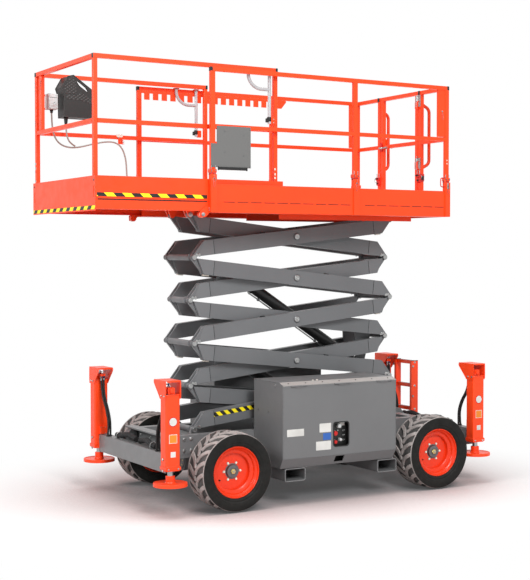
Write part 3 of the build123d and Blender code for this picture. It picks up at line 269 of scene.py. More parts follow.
ORANGE = srgb(243, 66, 16)
ORANGE_RIM = srgb(224, 52, 12)
GREY = srgb(114, 115, 116)
M = {
    "orange": paint("orange_enamel", ORANGE, rough=0.38, dust=0.04, pale=(0.8, 0.42, 0.3, 1.0)),
    "rim": paint("rim_enamel", ORANGE_RIM, rough=0.3, peel=0.06, dust=0.02, pale=(0.8, 0.42, 0.3, 1.0)),
    "grey": paint("grey_enamel", GREY, rough=0.42),
    "arm": paint("arm_enamel", srgb(101, 103, 105), rough=0.4, dust=0.1),
    "cab": paint("cabinet_powder_coat", srgb(104, 105, 106), rough=0.5, spread=0.04, peel=0.2, dust=0.05),
    "black_paint": paint("black_enamel", srgb(34, 34, 34), rough=0.34, dust=0.06, pale=(0.2, 0.2, 0.2, 1.0)),
    "tyre": tread_rubber("tyre_rubber"),
    "rubber": plastic("hose_rubber", srgb(18, 18, 18), rough=0.66, grain=160.0),
    "plastic": plastic("black_plastic", srgb(27, 25, 24), rough=0.45),
    "cap": plastic("cap_plastic", srgb(22, 22, 22), rough=0.4),
    "grey_plastic": plastic("grey_plastic", srgb(188, 190, 190), rough=0.5, strength=0.12),
    "dark_plastic": plastic("dark_grey_plastic", srgb(66, 68, 70), rough=0.5),
    "pad": plastic("nylon_pad", srgb(222, 216, 204), rough=0.5, strength=0.1),
    "red": plastic("red_knob", srgb(186, 26, 22), rough=0.35, strength=0.05),
    "plate": plastic("blank_label_vinyl", srgb(203, 203, 199), rough=0.4, strength=0.04),
    "zinc": metal("zinc_plated_steel", srgb(172, 173, 172), rough=0.34),
    "pale_zinc": plastic("pale_nut_cap", srgb(228, 226, 208), rough=0.35, strength=0.05),
    "yellow_zinc": metal("yellow_zinc", srgb(214, 196, 130), rough=0.34),
    "chrome": metal("hard_chrome", srgb(222, 224, 226), rough=0.1, spread=0.04),
    "aluminium": paint("satin_aluminium", srgb(166, 167, 169), rough=0.3, spread=0.05, coat=0.3, dust=0.0),
    "steel": metal("dark_steel", srgb(112, 112, 114), rough=0.42),
    "hazard": hazard("hazard_tape", 0.085, -1.0),
    "hazard_side": hazard("hazard_tape_side", 0.155, -1.0),
    "hazard_front": hazard("hazard_tape_front", 0.15, -1.0, "Y"),
    "arm_plate": paint("arm_plate_enamel", srgb(105, 107, 109), rough=0.36, dust=0.12),
    "plate_grey": paint("document_plate_enamel", srgb(98, 98, 97), rough=0.5, spread=0.03, dust=0.0),
    "amber": plastic("amber_label_vinyl", srgb(222, 128, 34), rough=0.4, strength=0.04),
    "blue_label": plastic("blue_label_vinyl", srgb(44, 88, 160), rough=0.4, strength=0.04),
    # pale strip paint: its paleness is a painted sheen on the cabinets' sloped strips
    "strip": paint("pale_strip_enamel", srgb(156, 153, 150), rough=0.42, spread=0.04, dust=0.05),
    # painted shadow: dark strips laid along the side plates' seam grooves
    "seam": paint("shadow_gap", srgb(52, 14, 8), rough=0.6, dust=0.0),
    "red_paint": paint("red_enamel", srgb(190, 34, 26), rough=0.36, dust=0.03),
    "blue": metal("blue_anodised", srgb(46, 92, 168), rough=0.32),
    "sleeve": braid("braided_sleeve", srgb(24, 24, 25)),
    "cable": plastic("grey_cable_jacket", srgb(150, 146, 140), rough=0.5, grain=120.0),
    "panel": diamond("diamond_panel", srgb(34, 31, 30)),
}

NODE_LOOKS = {
    "tyre": "tyre", "rim": "rim", "outer_arms": "arm", "inner_arms": "arm", "battery": "plastic",
    "hydraulic": "dark_plastic", "cabinet": "cab", "chassis_frame": "grey", "fork_pockets": "cab",
    "front_axle": "grey", "rear_axle": "grey", "steering_knuckle": "grey", "ground_controls": "plastic",
    "outrigger_beams": "grey", "outrigger_hoses": "rubber", "control_box": "plastic",
    "outlet_box": "grey_plastic", "document_plate": "plate_grey", "latch_handles": "aluminium",
    "platform_cables": "rubber", "deck_rollers": "orange",
}
for node_name, node in nodes.items():
    look_name = "orange"
    for start, key in NODE_LOOKS.items():
        if node_name.startswith(start):
            look_name = key
    if node_name.endswith("barrel"):
        look_name = "black_paint"
    if node_name.endswith("_rod"):
        look_name = "chrome"
    node.data.materials.clear()
    node.data.materials.append(M[look_name])


# ================================================================ mesh tools
def axes(direction, up=(0, 0, 1)):
    """Rotation whose Z is direction."""
    z = Vector(direction).normalized()
    up = Vector(up)
    if abs(z.dot(up)) > 0.95:
        up = Vector((1, 0, 0))
    x = up.cross(z).normalized()
    return Matrix((x, z.cross(x), z)).transposed().to_4x4()


def block(sx, sy, sz, chamfer=0.001):
    """A box about the origin with chamfered edges and corners."""
    half = (sx / 2, sy / 2, sz / 2)
    c = min(chamfer, min(half) * 0.45)
    verts, index = [], {}
    corners = list(product((-1, 1), repeat=3))
    for sign in corners:
        for axis in range(3):
            index[sign, axis] = len(verts)
            verts.append([sign[k] * (half[k] if k == axis else half[k] - c) for k in range(3)])
    faces = []
    for axis in range(3):
        u, v = (axis + 1) % 3, (axis + 2) % 3
        for s in (-1, 1):
            loop = []
            for a, b in ((-1, -1), (1, -1), (1, 1), (-1, 1)):
                sign = [0, 0, 0]
                sign[axis], sign[u], sign[v] = s, a, b
                loop.append(index[tuple(sign), axis])
            faces.append(loop if s > 0 else loop[::-1])
    for axis in range(3):                                   # edges along this axis
        u, v = (axis + 1) % 3, (axis + 2) % 3
        for a, b in product((-1, 1), repeat=2):
            low, high = [0, 0, 0], [0, 0, 0]
            low[axis], high[axis] = -1, 1
            low[u] = high[u] = a
            low[v] = high[v] = b
            low, high = tuple(low), tuple(high)
            loop = [index[low, u], index[high, u], index[high, v], index[low, v]]
            faces.append(loop if a * b < 0 else loop[::-1])
    for sign in corners:
        loop = [index[sign, k] for k in range(3)]
        faces.append(loop if math.prod(sign) > 0 else loop[::-1])
    return verts, faces


def lathe(profile, sides=32):
    """A solid turned about Z from (radius, height) points. A radius of 0 makes a pole."""
    verts, rings = [], []
    for r, h in profile:
        if r <= 1e-9:
            rings.append([len(verts)])
            verts.append((0, 0, h))
        else:
            rings.append(list(range(len(verts), len(verts) + sides)))
            verts.extend((r * math.cos(2 * PI * k / sides), r * math.sin(2 * PI * k / sides),
                          h) for k in range(sides))
    faces = []
    pairs = list(zip(rings, rings[1:]))
    if len(rings[0]) > 1 and len(rings[-1]) > 1:
        pairs.append((rings[-1], rings[0]))
    for a, b in pairs:
        for k in range(sides):
            n = (k + 1) % sides
            if len(a) == 1 and len(b) == 1:
                continue
            if len(a) == 1:
                faces.append([a[0], b[k], b[n]])
            elif len(b) == 1:
                faces.append([a[n], a[k], b[0]])
            else:
                faces.append([a[n], a[k], b[k], b[n]])
    return verts, faces


def rod(radius, height, chamfer=0.001, sides=24):
    """A round bar along Z from 0 to height, its ends chamfered."""
    c = min(chamfer, radius * 0.4, height * 0.4)
    return lathe([(0, 0), (radius - c, 0), (radius, c), (radius, height - c), (radius - c, height), (0, height)],
                 sides)


def stud(foot, body, low, high, crown, top, sides=6):
    """A head that stands on Z = 0: radius foot there, body from low to high, crown at the top."""
    return lathe([(0, 0), (foot, 0), (body, low), (body, high), (crown, top), (0, top)], sides)


def prism(outline, height, chamfer=0.0008):
    """A plate along Z over an x, y outline (counter-clockwise), its rims chamfered."""
    n = len(outline)
    c = min(chamfer, height * 0.4)
    inner = []
    for k in range(n):
        p, q, r = Vector(outline[k - 1]), Vector(outline[k]), Vector(outline[(k + 1) % n])
        d0, d1 = (q - p).normalized(), (r - q).normalized()
        normal = Vector((-d0.y - d1.y, d0.x + d1.x))
        if normal.length < 1e-6:
            normal = Vector((-d0.y, d0.x))
        normal.normalize()
        cosine = max(0.4, normal.dot(Vector((-d0.y, d0.x))))
        inner.append(q + normal * (c / cosine))
    verts = [(*p, 0) for p in inner] + [(*p, c) for p in outline] + [(*p, height - c) for p in outline] + [(*p,
            height) for p in inner]
    faces = [list(range(n))[::-1], [3 * n + k for k in range(n)]]
    for ring in range(3):
        for k in range(n):
            m = (k + 1) % n
            faces.append([ring * n + k, ring * n + m, (ring + 1) * n + m, (ring + 1) * n + k])
    return verts, faces


def rounded(sx, sy, radius, steps=5):
    """Counter-clockwise outline of a rounded rectangle about the origin."""
    out = []
    for cx, cy, start in ((sx / 2 - radius, sy / 2 - radius, 0), (-sx / 2 + radius, sy / 2 - radius, 90),
                          (-sx / 2 + radius, -sy / 2 + radius, 180), (sx / 2 - radius, -sy / 2 + radius, 270)):
        for k in range(steps + 1):
            a = math.radians(start + 90 * k / steps)
            out.append((cx + radius * math.cos(a), cy + radius * math.sin(a)))
    return out


def hose(points, radius, sides=12, smooth=8, closed=False):
    """A round tube along a smooth line through points."""
    pts = [Vector(p) for p in points]
    n = len(pts)
    line = []
    spans = n if closed else n - 1
    for i in range(spans):
        p1, p2 = pts[i], pts[(i + 1) % n]
        p0 = pts[i - 1] if (i > 0 or closed) else p1 * 2 - p2
        p3 = pts[(i + 2) % n] if (i + 2 < n or closed) else p2 * 2 - p1
        for k in range(smooth):
            t = k / smooth
            bend = (2 * p0 - 5 * p1 + 4 * p2 - p3) * t * t
            line.append(0.5 * (2 * p1 + (p2 - p0) * t + bend + (3 * p1 - p0 - 3 * p2 + p3) * t ** 3))
    if not closed:
        line.append(pts[-1])
    verts, rings, normal = [], [], None
    count = len(line)
    for i, p in enumerate(line):
        ahead = line[(i + 1) % count] if (closed or i + 1 < count) else p
        behind = line[i - 1] if (closed or i > 0) else p
        tangent = (ahead - behind).normalized()
        if normal is None:
            normal = tangent.orthogonal().normalized()
        normal = (normal - tangent * normal.dot(tangent)).normalized()
        side = tangent.cross(normal)
        rings.append(list(range(len(verts), len(verts) + sides)))
        for k in range(sides):
            a = 2 * PI * k / sides
            verts.append(p + (normal * math.cos(a) + side * math.sin(a)) * radius)
    faces = []
    for i in range(count if closed else count - 1):
        a, b = rings[i], rings[(i + 1) % count]
        for k in range(sides):
            m = (k + 1) % sides
            faces.append([a[k], a[m], b[m], b[k]])
    if not closed:
        faces.append(rings[0][::-1])
        faces.append(rings[-1])
    return verts, faces


SMOOTH_BELOW = 30          # degrees


class Piece:
    """Gathers solids, placed in the drawing's own axes in metres, into one object."""

    def __init__(self, name, body, *looks, origin=(0, 0, 0), slot=None):
        self.name, self.body, self.looks, self.slot = name, body, looks, slot
        self.origin = Vector(origin)
        self.verts, self.faces, self.mats = [], [], []

    def add(self, solid, look, at=(0, 0, 0), turn=None, mirror_y=False):
        """Adds a solid at a point, turned by a matrix or so that its Z runs along a direction."""
        verts, faces = solid
        if isinstance(turn, tuple):
            turn = axes(turn)
        matrix = shift(Vector(at)) @ (turn or Matrix())
        base, mat = len(self.verts), self.looks.index(look)
        for v in verts:
            p = matrix @ Vector(v)
            if mirror_y:
                p.y = -p.y
            self.verts.append(p)
        for f in faces:
            loop = [base + k for k in f]
            self.faces.append(loop[::-1] if mirror_y else loop)
            self.mats.append(mat)
        return self

    def both(self, solid, look, at=(0, 0, 0), turn=None):
        """The solid and its twin on the right-hand side."""
        self.add(solid, look, at, turn)
        return self.add(solid, look, at, turn, True)

    def make(self, angle=SMOOTH_BELOW):
        mesh = bpy.data.meshes.new(self.name)
        mesh.from_pydata([v - self.origin for v in self.verts], [], self.faces)
        mesh.polygons.foreach_set("material_index", self.mats)
        mesh.polygons.foreach_set("use_smooth", [True] * len(self.faces))
        mesh.update()
        mesh.set_sharp_from_angle(angle=math.radians(angle))
        obj = bpy.data.objects.new(self.name, mesh)
        bpy.context.scene.collection.objects.link(obj)
        for key in self.looks:
            mesh.materials.append(M[key])
        obj.location = self.origin - Vector((MIDDLE_X, 0, 0))
        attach(obj, self.body)
        return obj


OUT, IN, UP, DOWN = (0, 1, 0), (0, -1, 0), (0, 0, 1), (0, 0, -1)
FORE, AFT = (1, 0, 0), (-1, 0, 0)
TURNS = [2 * PI * k / 14 for k in range(14)]      # angles round a small ring


def bolt(piece, at, direction, size=0.016, look="zinc", washer=True):
    """A hexagon head with a washer, standing on a face at a point."""
    turn = axes(direction)
    foot = 0.0
    if washer:
        piece.add(lathe([(0, 0), (size * 0.78, 0), (size * 0.82, size * 0.05), (size * 0.82, size * 0.12),
                         (size * 0.74, size * 0.17), (0, size * 0.17)], 20), look, at, turn)
        foot = size * 0.15
    piece.add(lathe([(0, foot), (size * 0.56, foot), (size * 0.58, foot + size * 0.06),
                     (size * 0.58, foot + size * 0.36), (size * 0.48, foot + size * 0.44),
                     (size * 0.3, foot + size * 0.46), (0, foot + size * 0.46)], 6), look, at, turn)


# ================================================================ wheels
WHEELBASE, AXLE_Z = 2.081, 0.33
WHEEL_Y = 1.75 / 2 - 0.285 / 2
HALF_W = 0.1425


def tyre_profile():
    """(radius, y) round the tyre's section, from the left bead over the crown to the right one."""
    side = [(0.2145, 0.118), (0.218, 0.1262), (0.2235, 0.13), (0.23, 0.133), (0.236, 0.1345), (0.2395, 0.1335),
            (0.242, 0.1345), (0.248, 0.139), (0.256, 0.1408), (0.258, 0.14), (0.26, 0.1408), (0.28, 0.142),
            (0.3, 0.142), (0.3135, 0.1416), (0.316, 0.1408), (0.318, 0.1385), (0.3195, 0.134), (0.3198, 0.129),
            (0.3185, 0.1262), (0.312, 0.1225), (0.3112, 0.115), (0.312, 0.08), (0.3126, 0.04)]
    return side + [(0.3128, 0.0)] + [(r, -y) for r, y in side[::-1]]


def tread_lug(angle, side):
    """One curved bar of the tread about the Y axis: a swept outline with sloping flanks."""
    # (the rolling way, across)
    spine = [(0.056, 0.0045), (0.036, 0.009), (0.008, 0.024), (-0.015, 0.048), (-0.033, 0.076), (-0.048, 0.106),
             (-0.056, 0.129)]
    widths = [0.018, 0.024, 0.0275, 0.029, 0.03, 0.031, 0.032]
    crowns = [0.329, 0.329, 0.3288, 0.328, 0.3268, 0.3245, 0.3205]
    verts, faces = [], []
    n = len(spine)
    for i in range(n):
        ahead, behind = Vector(spine[min(i + 1, n - 1)]), Vector(spine[max(i - 1, 0)])
        along = (ahead - behind).normalized()
        across = Vector((along.y, -along.x))
        for edge in (-1, 1):
            for radius, flare in ((0.306, 0.005), (crowns[i] - 0.0022, 0.0012), (crowns[i], -0.0014)):
                q = Vector(spine[i]) + across * edge * (widths[i] / 2 + flare)
                a = angle + q.x / 0.32
                verts.append((radius * math.sin(a), side * q.y, radius * math.cos(a)))
    for i in range(n - 1):
        a, b = i * 6, (i + 1) * 6
        order = [0, 1, 2, 5, 4, 3]
        for k in range(5):
            faces.append([a + order[k], b + order[k], b + order[k + 1], a + order[k + 1]])
    faces.append([0, 1, 2, 5, 4, 3])
    last = (n - 1) * 6
    faces.append([last + k for k in (0, 3, 4, 5, 2, 1)])
    return verts, (faces if side > 0 else [f[::-1] for f in faces])


LUGS = 20


def make_wheel(end, hand):
    body = f"wheel_{end}_{hand}"
    centre = Vector(((WHEELBASE / 2) * (1 if end == "front" else -1), WHEEL_Y * (1 if hand == "left" else -1),
                     AXLE_Z))
    flip = -1 if hand == "right" else 1
    turn = Matrix.Rotation(-PI / 2, 4, "X") if flip > 0 else Matrix.Rotation(PI / 2, 4, "X")
    tyre = Piece(f"tyre_tread_{end}_{hand}", body, "tyre", origin=centre, slot="tyre")
    tyre.add(lathe([(r, h) for r, h in tyre_profile()], 96), "tyre", centre, turn)
    for side in (-1, 1):
        for k in range(LUGS):
            tyre.add(tread_lug(2 * PI * (k + (0.5 if side > 0 else 0)) / LUGS, side), "tyre", centre)
    made = tyre.make()
    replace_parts(made, f"tyre_{end}_{hand}")

    rim = Piece(f"wheel_disc_{end}_{hand}", body, "rim", "steel", "zinc", "pale_zinc", "yellow_zinc", "cap",
                origin=centre, slot="rim_paint")
    w = HALF_W
    dish = [(0.2137, -w + 0.0225), (0.2137, w - 0.0235), (0.2128, w - 0.0222), (0.2075, w - 0.0222),
            (0.2058, w - 0.0245), (0.2045, w - 0.033), (0.1985, w - 0.0425), (0.1905, w - 0.0475), (0.186, w - 0.052),
            (0.184, w - 0.06), (0.18, w - 0.0665), (0.169, w - 0.0705), (0.157, w - 0.0735), (0.153, w - 0.077),
            (0.1512, w - 0.085), (0.1504, w - 0.1), (0.1485, w - 0.1036), (0.09, w - 0.104), (0.06, w - 0.104),
            (0.06, w - 0.114), (0.142, w - 0.114), (0.16, w - 0.095), (0.19, w - 0.08), (0.206, w - 0.04),
            (0.206, -w + 0.0225)]
    rim.add(lathe(dish, 96), "rim", centre, turn)
    face_y = w - 0.104
    hub = [(0.0, -0.03), (0.068, -0.03), (0.07, -0.028), (0.07, face_y - 0.003), (0.069, face_y - 0.0005),
           (0.0565, face_y + 0.001), (0.0555, face_y + 0.015), (0.053, face_y + 0.0185), (0.03, face_y + 0.0195),
           (0.0285, face_y + 0.0175), (0.0, face_y + 0.0175)]
    rim.add(lathe(hub, 48), "steel", centre, turn)
    rim.add(stud(0.0215, 0.0225, 0.0015, 0.01, 0.019, 0.0125), "yellow_zinc",
            centre + Vector((0, flip * (face_y + 0.0165), 0)), axes((0, flip, 0)))
    rim.add(lathe([(0.0, 0.0), (0.0085, 0.0), (0.0085, 0.018), (0.0072, 0.0195), (0.0, 0.0195)], 16), "zinc",
            centre + Vector((0, flip * (face_y + 0.0165), 0)), axes((0, flip, 0)))
    for k in range(6):
        a = PI / 3 * k
        at = centre + Vector((0.0765 * math.cos(a), flip * (face_y - 0.0005), 0.0765 * math.sin(a)))
        rim.add(lathe([(0, 0), (0.0092, 0), (0.0098, 0.001), (0.0098, 0.007), (0.008, 0.0088), (0.0045, 0.0092),
                       (0, 0.0092)], 6), "pale_zinc", at, (0, flip, 0))
        rim.add(stud(0.0112, 0.0116, 0.0006, 0.0016, 0.0095, 0.0022, 20), "zinc", at, (0, flip, 0))
    valve = centre + Vector((0.137 * math.cos(0.5), flip * (face_y - 0.001), -0.137 * math.sin(0.5)))
    rim.add(lathe([(0, 0), (0.0058, 0), (0.0062, 0.002), (0.005, 0.01), (0.0042, 0.022), (0.0034, 0.0235),
                   (0, 0.0235)], 12), "cap", valve, (0, flip, 0))
    made = rim.make(32)
    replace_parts(made, f"rim_{end}_{hand}")


for end in ("front", "rear"):
    for hand in ("left", "right"):
        make_wheel(end, hand)


# ================================================================ sizes shared with the solids
LEVELS, SPAN, LEVEL_H, ARM_PITCH = 5, 2.08, 0.368, 0.14
ARM_D, ARM_W, OUTER_Y, INNER_Y = 0.13, 0.065, 0.213, 0.138
HALF_RUN = math.sqrt(SPAN ** 2 - ARM_PITCH ** 2) / 2
END_SET, BEVEL = 0.03, 0.105
FRONT_PIN_X, LOW_PIN_Z = 1.13, 0.619
LIFT = math.asin(LEVEL_H / SPAN)
TILT = LIFT - math.asin(ARM_PITCH / SPAN)
MID_PIN_X = FRONT_PIN_X - SPAN * math.cos(LIFT) / 2
LEG_X = {"front": 1.584, "rear": -1.571}
LEG_Y, LEG_SLEEVE_Z = 0.727, 0.327        # the legs are bare metal above this height
DECK_REAR, DECK_FRONT, DECK_Y = -1.25, 1.209, 0.729
TOE_TOP, RAIL_TOP_Z, MID_RAIL_Z = 2.692, 3.647, 3.165
EXT_FRONT, EXT_Y, EXT_RAIL_Y, EXT_TOP_Z = 2.209, 0.69, 0.652, 3.688
TUBE, RAIL_W = 0.035, 0.028          # the rails' tubes: side, and width along the deck
POSTS_X = (1.167, -0.242, -1.25)
GATE_Y = (-0.315, 0.335)


def arm_frame(level, forward):
    """An arm's own axes: its middle pin at the origin, X to its upper end."""
    z = LOW_PIN_Z + (level - 0.5) * LEVEL_H
    place = shift((MID_PIN_X, 0, z))
    if forward:
        return place @ Matrix.Rotation(-TILT, 4, "Y")
    return place @ Matrix.Rotation(TILT, 4, "Y") @ Matrix.Rotation(PI, 4, "Z")


def side_plate(outline, y0, y1, chamfer=0.0005):
    """A plate over a counter-clockwise x, z outline, from y0 to y1."""
    verts, faces = prism(outline, y1 - y0, chamfer)
    return [(x, y0 + h, z) for x, z, h in verts], [f[::-1] for f in faces]


def end_plate(outline, x0, x1, chamfer=0.0005):
    """A plate over a counter-clockwise y, z outline, from x0 to x1."""
    verts, faces = prism(outline, x1 - x0, chamfer)
    return [(x0 + h, y, z) for y, z, h in verts], faces


def rect(a, b, c, d):
    return [(a, c), (b, c), (b, d), (a, d)]


def shifted(outline, dx, dy):
    return [(x + dx, y + dy) for x, y in outline]


def side_ring(outer, inner, height, y0):
    """A flat ring from y0 outward between two x, z outlines with as many points."""
    n = len(outer)
    verts = [(x, y0 + h, z) for h, points in ((0, outer), (height, outer), (height, inner), (0, inner)) for x,
             z in points]
    faces = []
    for k in range(n):
        m = (k + 1) % n
        for r in range(4):
            a, b = r * n, ((r + 1) % 4) * n
            faces.append([b + k, b + m, a + m, a + k])
    return verts, faces


def placed(solid, matrix):
    verts, faces = solid
    return [tuple(matrix @ Vector(v)) for v in verts], faces


def mirrored(solid):
    verts, faces = solid
    return [(x, -y, z) for x, y, z in verts], [f[::-1] for f in faces]


# ================================================================ scissor arms
def dress_arms():
    half = ARM_D / 2
    for level in range(1, LEVELS + 1):
        odd = level % 2 == 1
        for kind, y, forward in (("outer", OUTER_Y, not odd), ("inner", INNER_Y, odd)):
            place = arm_frame(level, forward)
            face = y + ARM_W
            body = f"{kind}_arms_{level}"
            piece = Piece(f"{kind}_arm_trim_{level}", body, "arm_plate", "steel", "zinc", "cap", "pad", "hazard",
                          slot="arm_paint")

            def put(solid, look):
                piece.add(placed(solid, place), look)
                piece.add(placed(mirrored(solid), place), look)

            def pin(solid, at):
                put(placed(solid, shift(at) @ axes(OUT)), "zinc")

            seam = 0.165                                # end plates' reach from the tip
            tip, root = HALF_RUN - END_SET, HALF_RUN - BEVEL
            lower = [(-tip + 0.003, -half + 0.002), (-tip + seam, -half + 0.002), (-tip + seam, half - 0.002),
                     (-root + 0.0015, half - 0.002)]
            upper = [(tip - seam, -half + 0.002), (root - 0.0015, -half + 0.002), (tip - 0.003, half - 0.002),
                     (tip - seam, half - 0.002)]
            for outline in (lower, upper):
                put(side_plate(outline, face, face + 0.0016), "arm_plate")
            for x in (-tip + seam, tip - seam - 0.0045):
                put(side_plate(rect(x, x + 0.0045, -half + 0.003, half - 0.003), face, face + 0.0012, 0.0002), "cap")
            # caps on the slanted ends
            slope = Vector((tip - root, 0, 2 * half))
            run = slope.length
            for end in (-1, 1):
                middle = Vector((end * (tip + root) / 2, y + ARM_W / 2, 0))
                outward = Vector((end * slope.z, 0, -end * slope.x)).normalized()
                turn = Matrix((Vector((0, 1, 0)).cross(outward), (0, 1, 0), outward)).transposed().to_4x4()
                put(placed(block(run - 0.02, 0.02, 0.0025, 0.0008), shift(middle + outward * 0.001) @ turn),
                    "arm_plate")
            # the lower end's pin, its keeper and the keeper's bolt
            keep_at = Vector((-HALF_RUN, face, -ARM_PITCH / 2))
            pin(lathe([(0, 0), (0.0195, 0), (0.0205, 0.0008), (0.0205, 0.0024), (0.0195, 0.0034), (0.0125, 0.0034),
                       (0.0115, 0.0026), (0, 0.0026)], 28), keep_at)
            keeper = rounded(0.05, 0.018, 0.006, 3)
            spot = shift(keep_at + Vector((0.036, 0.0, 0.016))) @ Matrix.Rotation(0.42, 4, "Y")
            put(placed(prism(keeper, 0.003), spot @ axes(OUT, (0, 0, 1))), "zinc")
            pin(stud(0.0085, 0.0088, 0.001, 0.005, 0.007, 0.0062), keep_at + Vector((0.048, 0.003, 0.021)))
            if level == LEVELS or level == 1 and kind == "inner":
                end = 1 if level == LEVELS else -1
                hub = Vector((end * HALF_RUN, face, end * ARM_PITCH / 2))
                pin(lathe([(0, 0), (0.021, 0), (0.0215, 0.003), (0.014, 0.0042), (0, 0.0042)], 28), hub)
            if kind == "outer":
                # a pale wear pad and a stop under the upper end
                put(placed(block(0.052, 0.034, 0.01, 0.0015), shift((root - 0.032, y + ARM_W / 2, -half - 0.005))),
                    "pad")
                put(placed(block(0.03, 0.04, 0.008, 0.0015), shift((-0.33, y + ARM_W / 2, half + 0.004))), "cap")
            if kind == "outer" and level == 1:
                tape = [(-0.885, 0.008), (-0.4, 0.008), (-0.4, 0.046), (-0.885, 0.046)]
                put(side_plate(tape, face + 0.0002, face + 0.0012), "hazard")
            piece.make()

            if kind == "inner":
                # the middle pin's head, on the outer arm's face, turns with the inner arm
                cap = Piece(f"centre_pin_caps_{level}", body, "steel", "zinc", slot="arm_paint")
                reach = OUTER_Y + ARM_W + 0.0062
                solid = lathe([(0, 0), (0.0285, 0), (0.0295, 0.001), (0.029, 0.003), (0.0262, 0.0042),
                               (0.0255, 0.0034), (0, 0.0034)], 36)
                disc = lathe([(0, 0.003), (0.0238, 0.003), (0.0245, 0.0042), (0.0225, 0.0058), (0.0105, 0.0066),
                              (0.0085, 0.0052), (0, 0.0052)], 36)
                for sign in (1, -1):
                    matrix = place @ shift((0, sign * reach, 0)) @ axes((0, sign, 0))
                    cap.add(solid, "steel", turn=matrix)
                    cap.add(disc, "zinc", turn=matrix)
                    middle = place @ shift((0.0, sign * (reach + 0.005), 0.0)) @ axes((0, sign, 0))
                    cap.add(lathe([(0, 0), (0.0048, 0), (0.0048, 0.0022), (0.003, 0.003), (0, 0.003)], 10), "zinc",
                            turn=middle)
                cap.make()
            # rings where the lower cross tube meets the arms
            tube = Piece(f"{kind}_tube_rings_{level}", body, "arm_plate", "cap", slot="arm_paint")
            for sign in (1, -1):
                matrix = place @ shift((-HALF_RUN, sign * (y - 0.0045), -ARM_PITCH / 2)) @ axes((0, sign, 0))
                tube.add(lathe([(0.0262, 0), (0.031, 0), (0.0322, 0.0012), (0.0322, 0.004), (0.0262, 0.004)], 28),
                         "arm_plate", turn=matrix)
            tube.make()


dress_arms()


# ================================================================ outriggers
def nut(piece, at, direction, size, height, look="zinc"):
    """A hexagon with chamfered corners, standing on a point."""
    r = size / 2 / math.cos(PI / 6)
    piece.add(lathe([(0, 0), (r * 0.9, 0), (r, height * 0.14), (r, height * 0.86), (r * 0.9, height), (0, height)],
                    6), look, at, axes(direction))


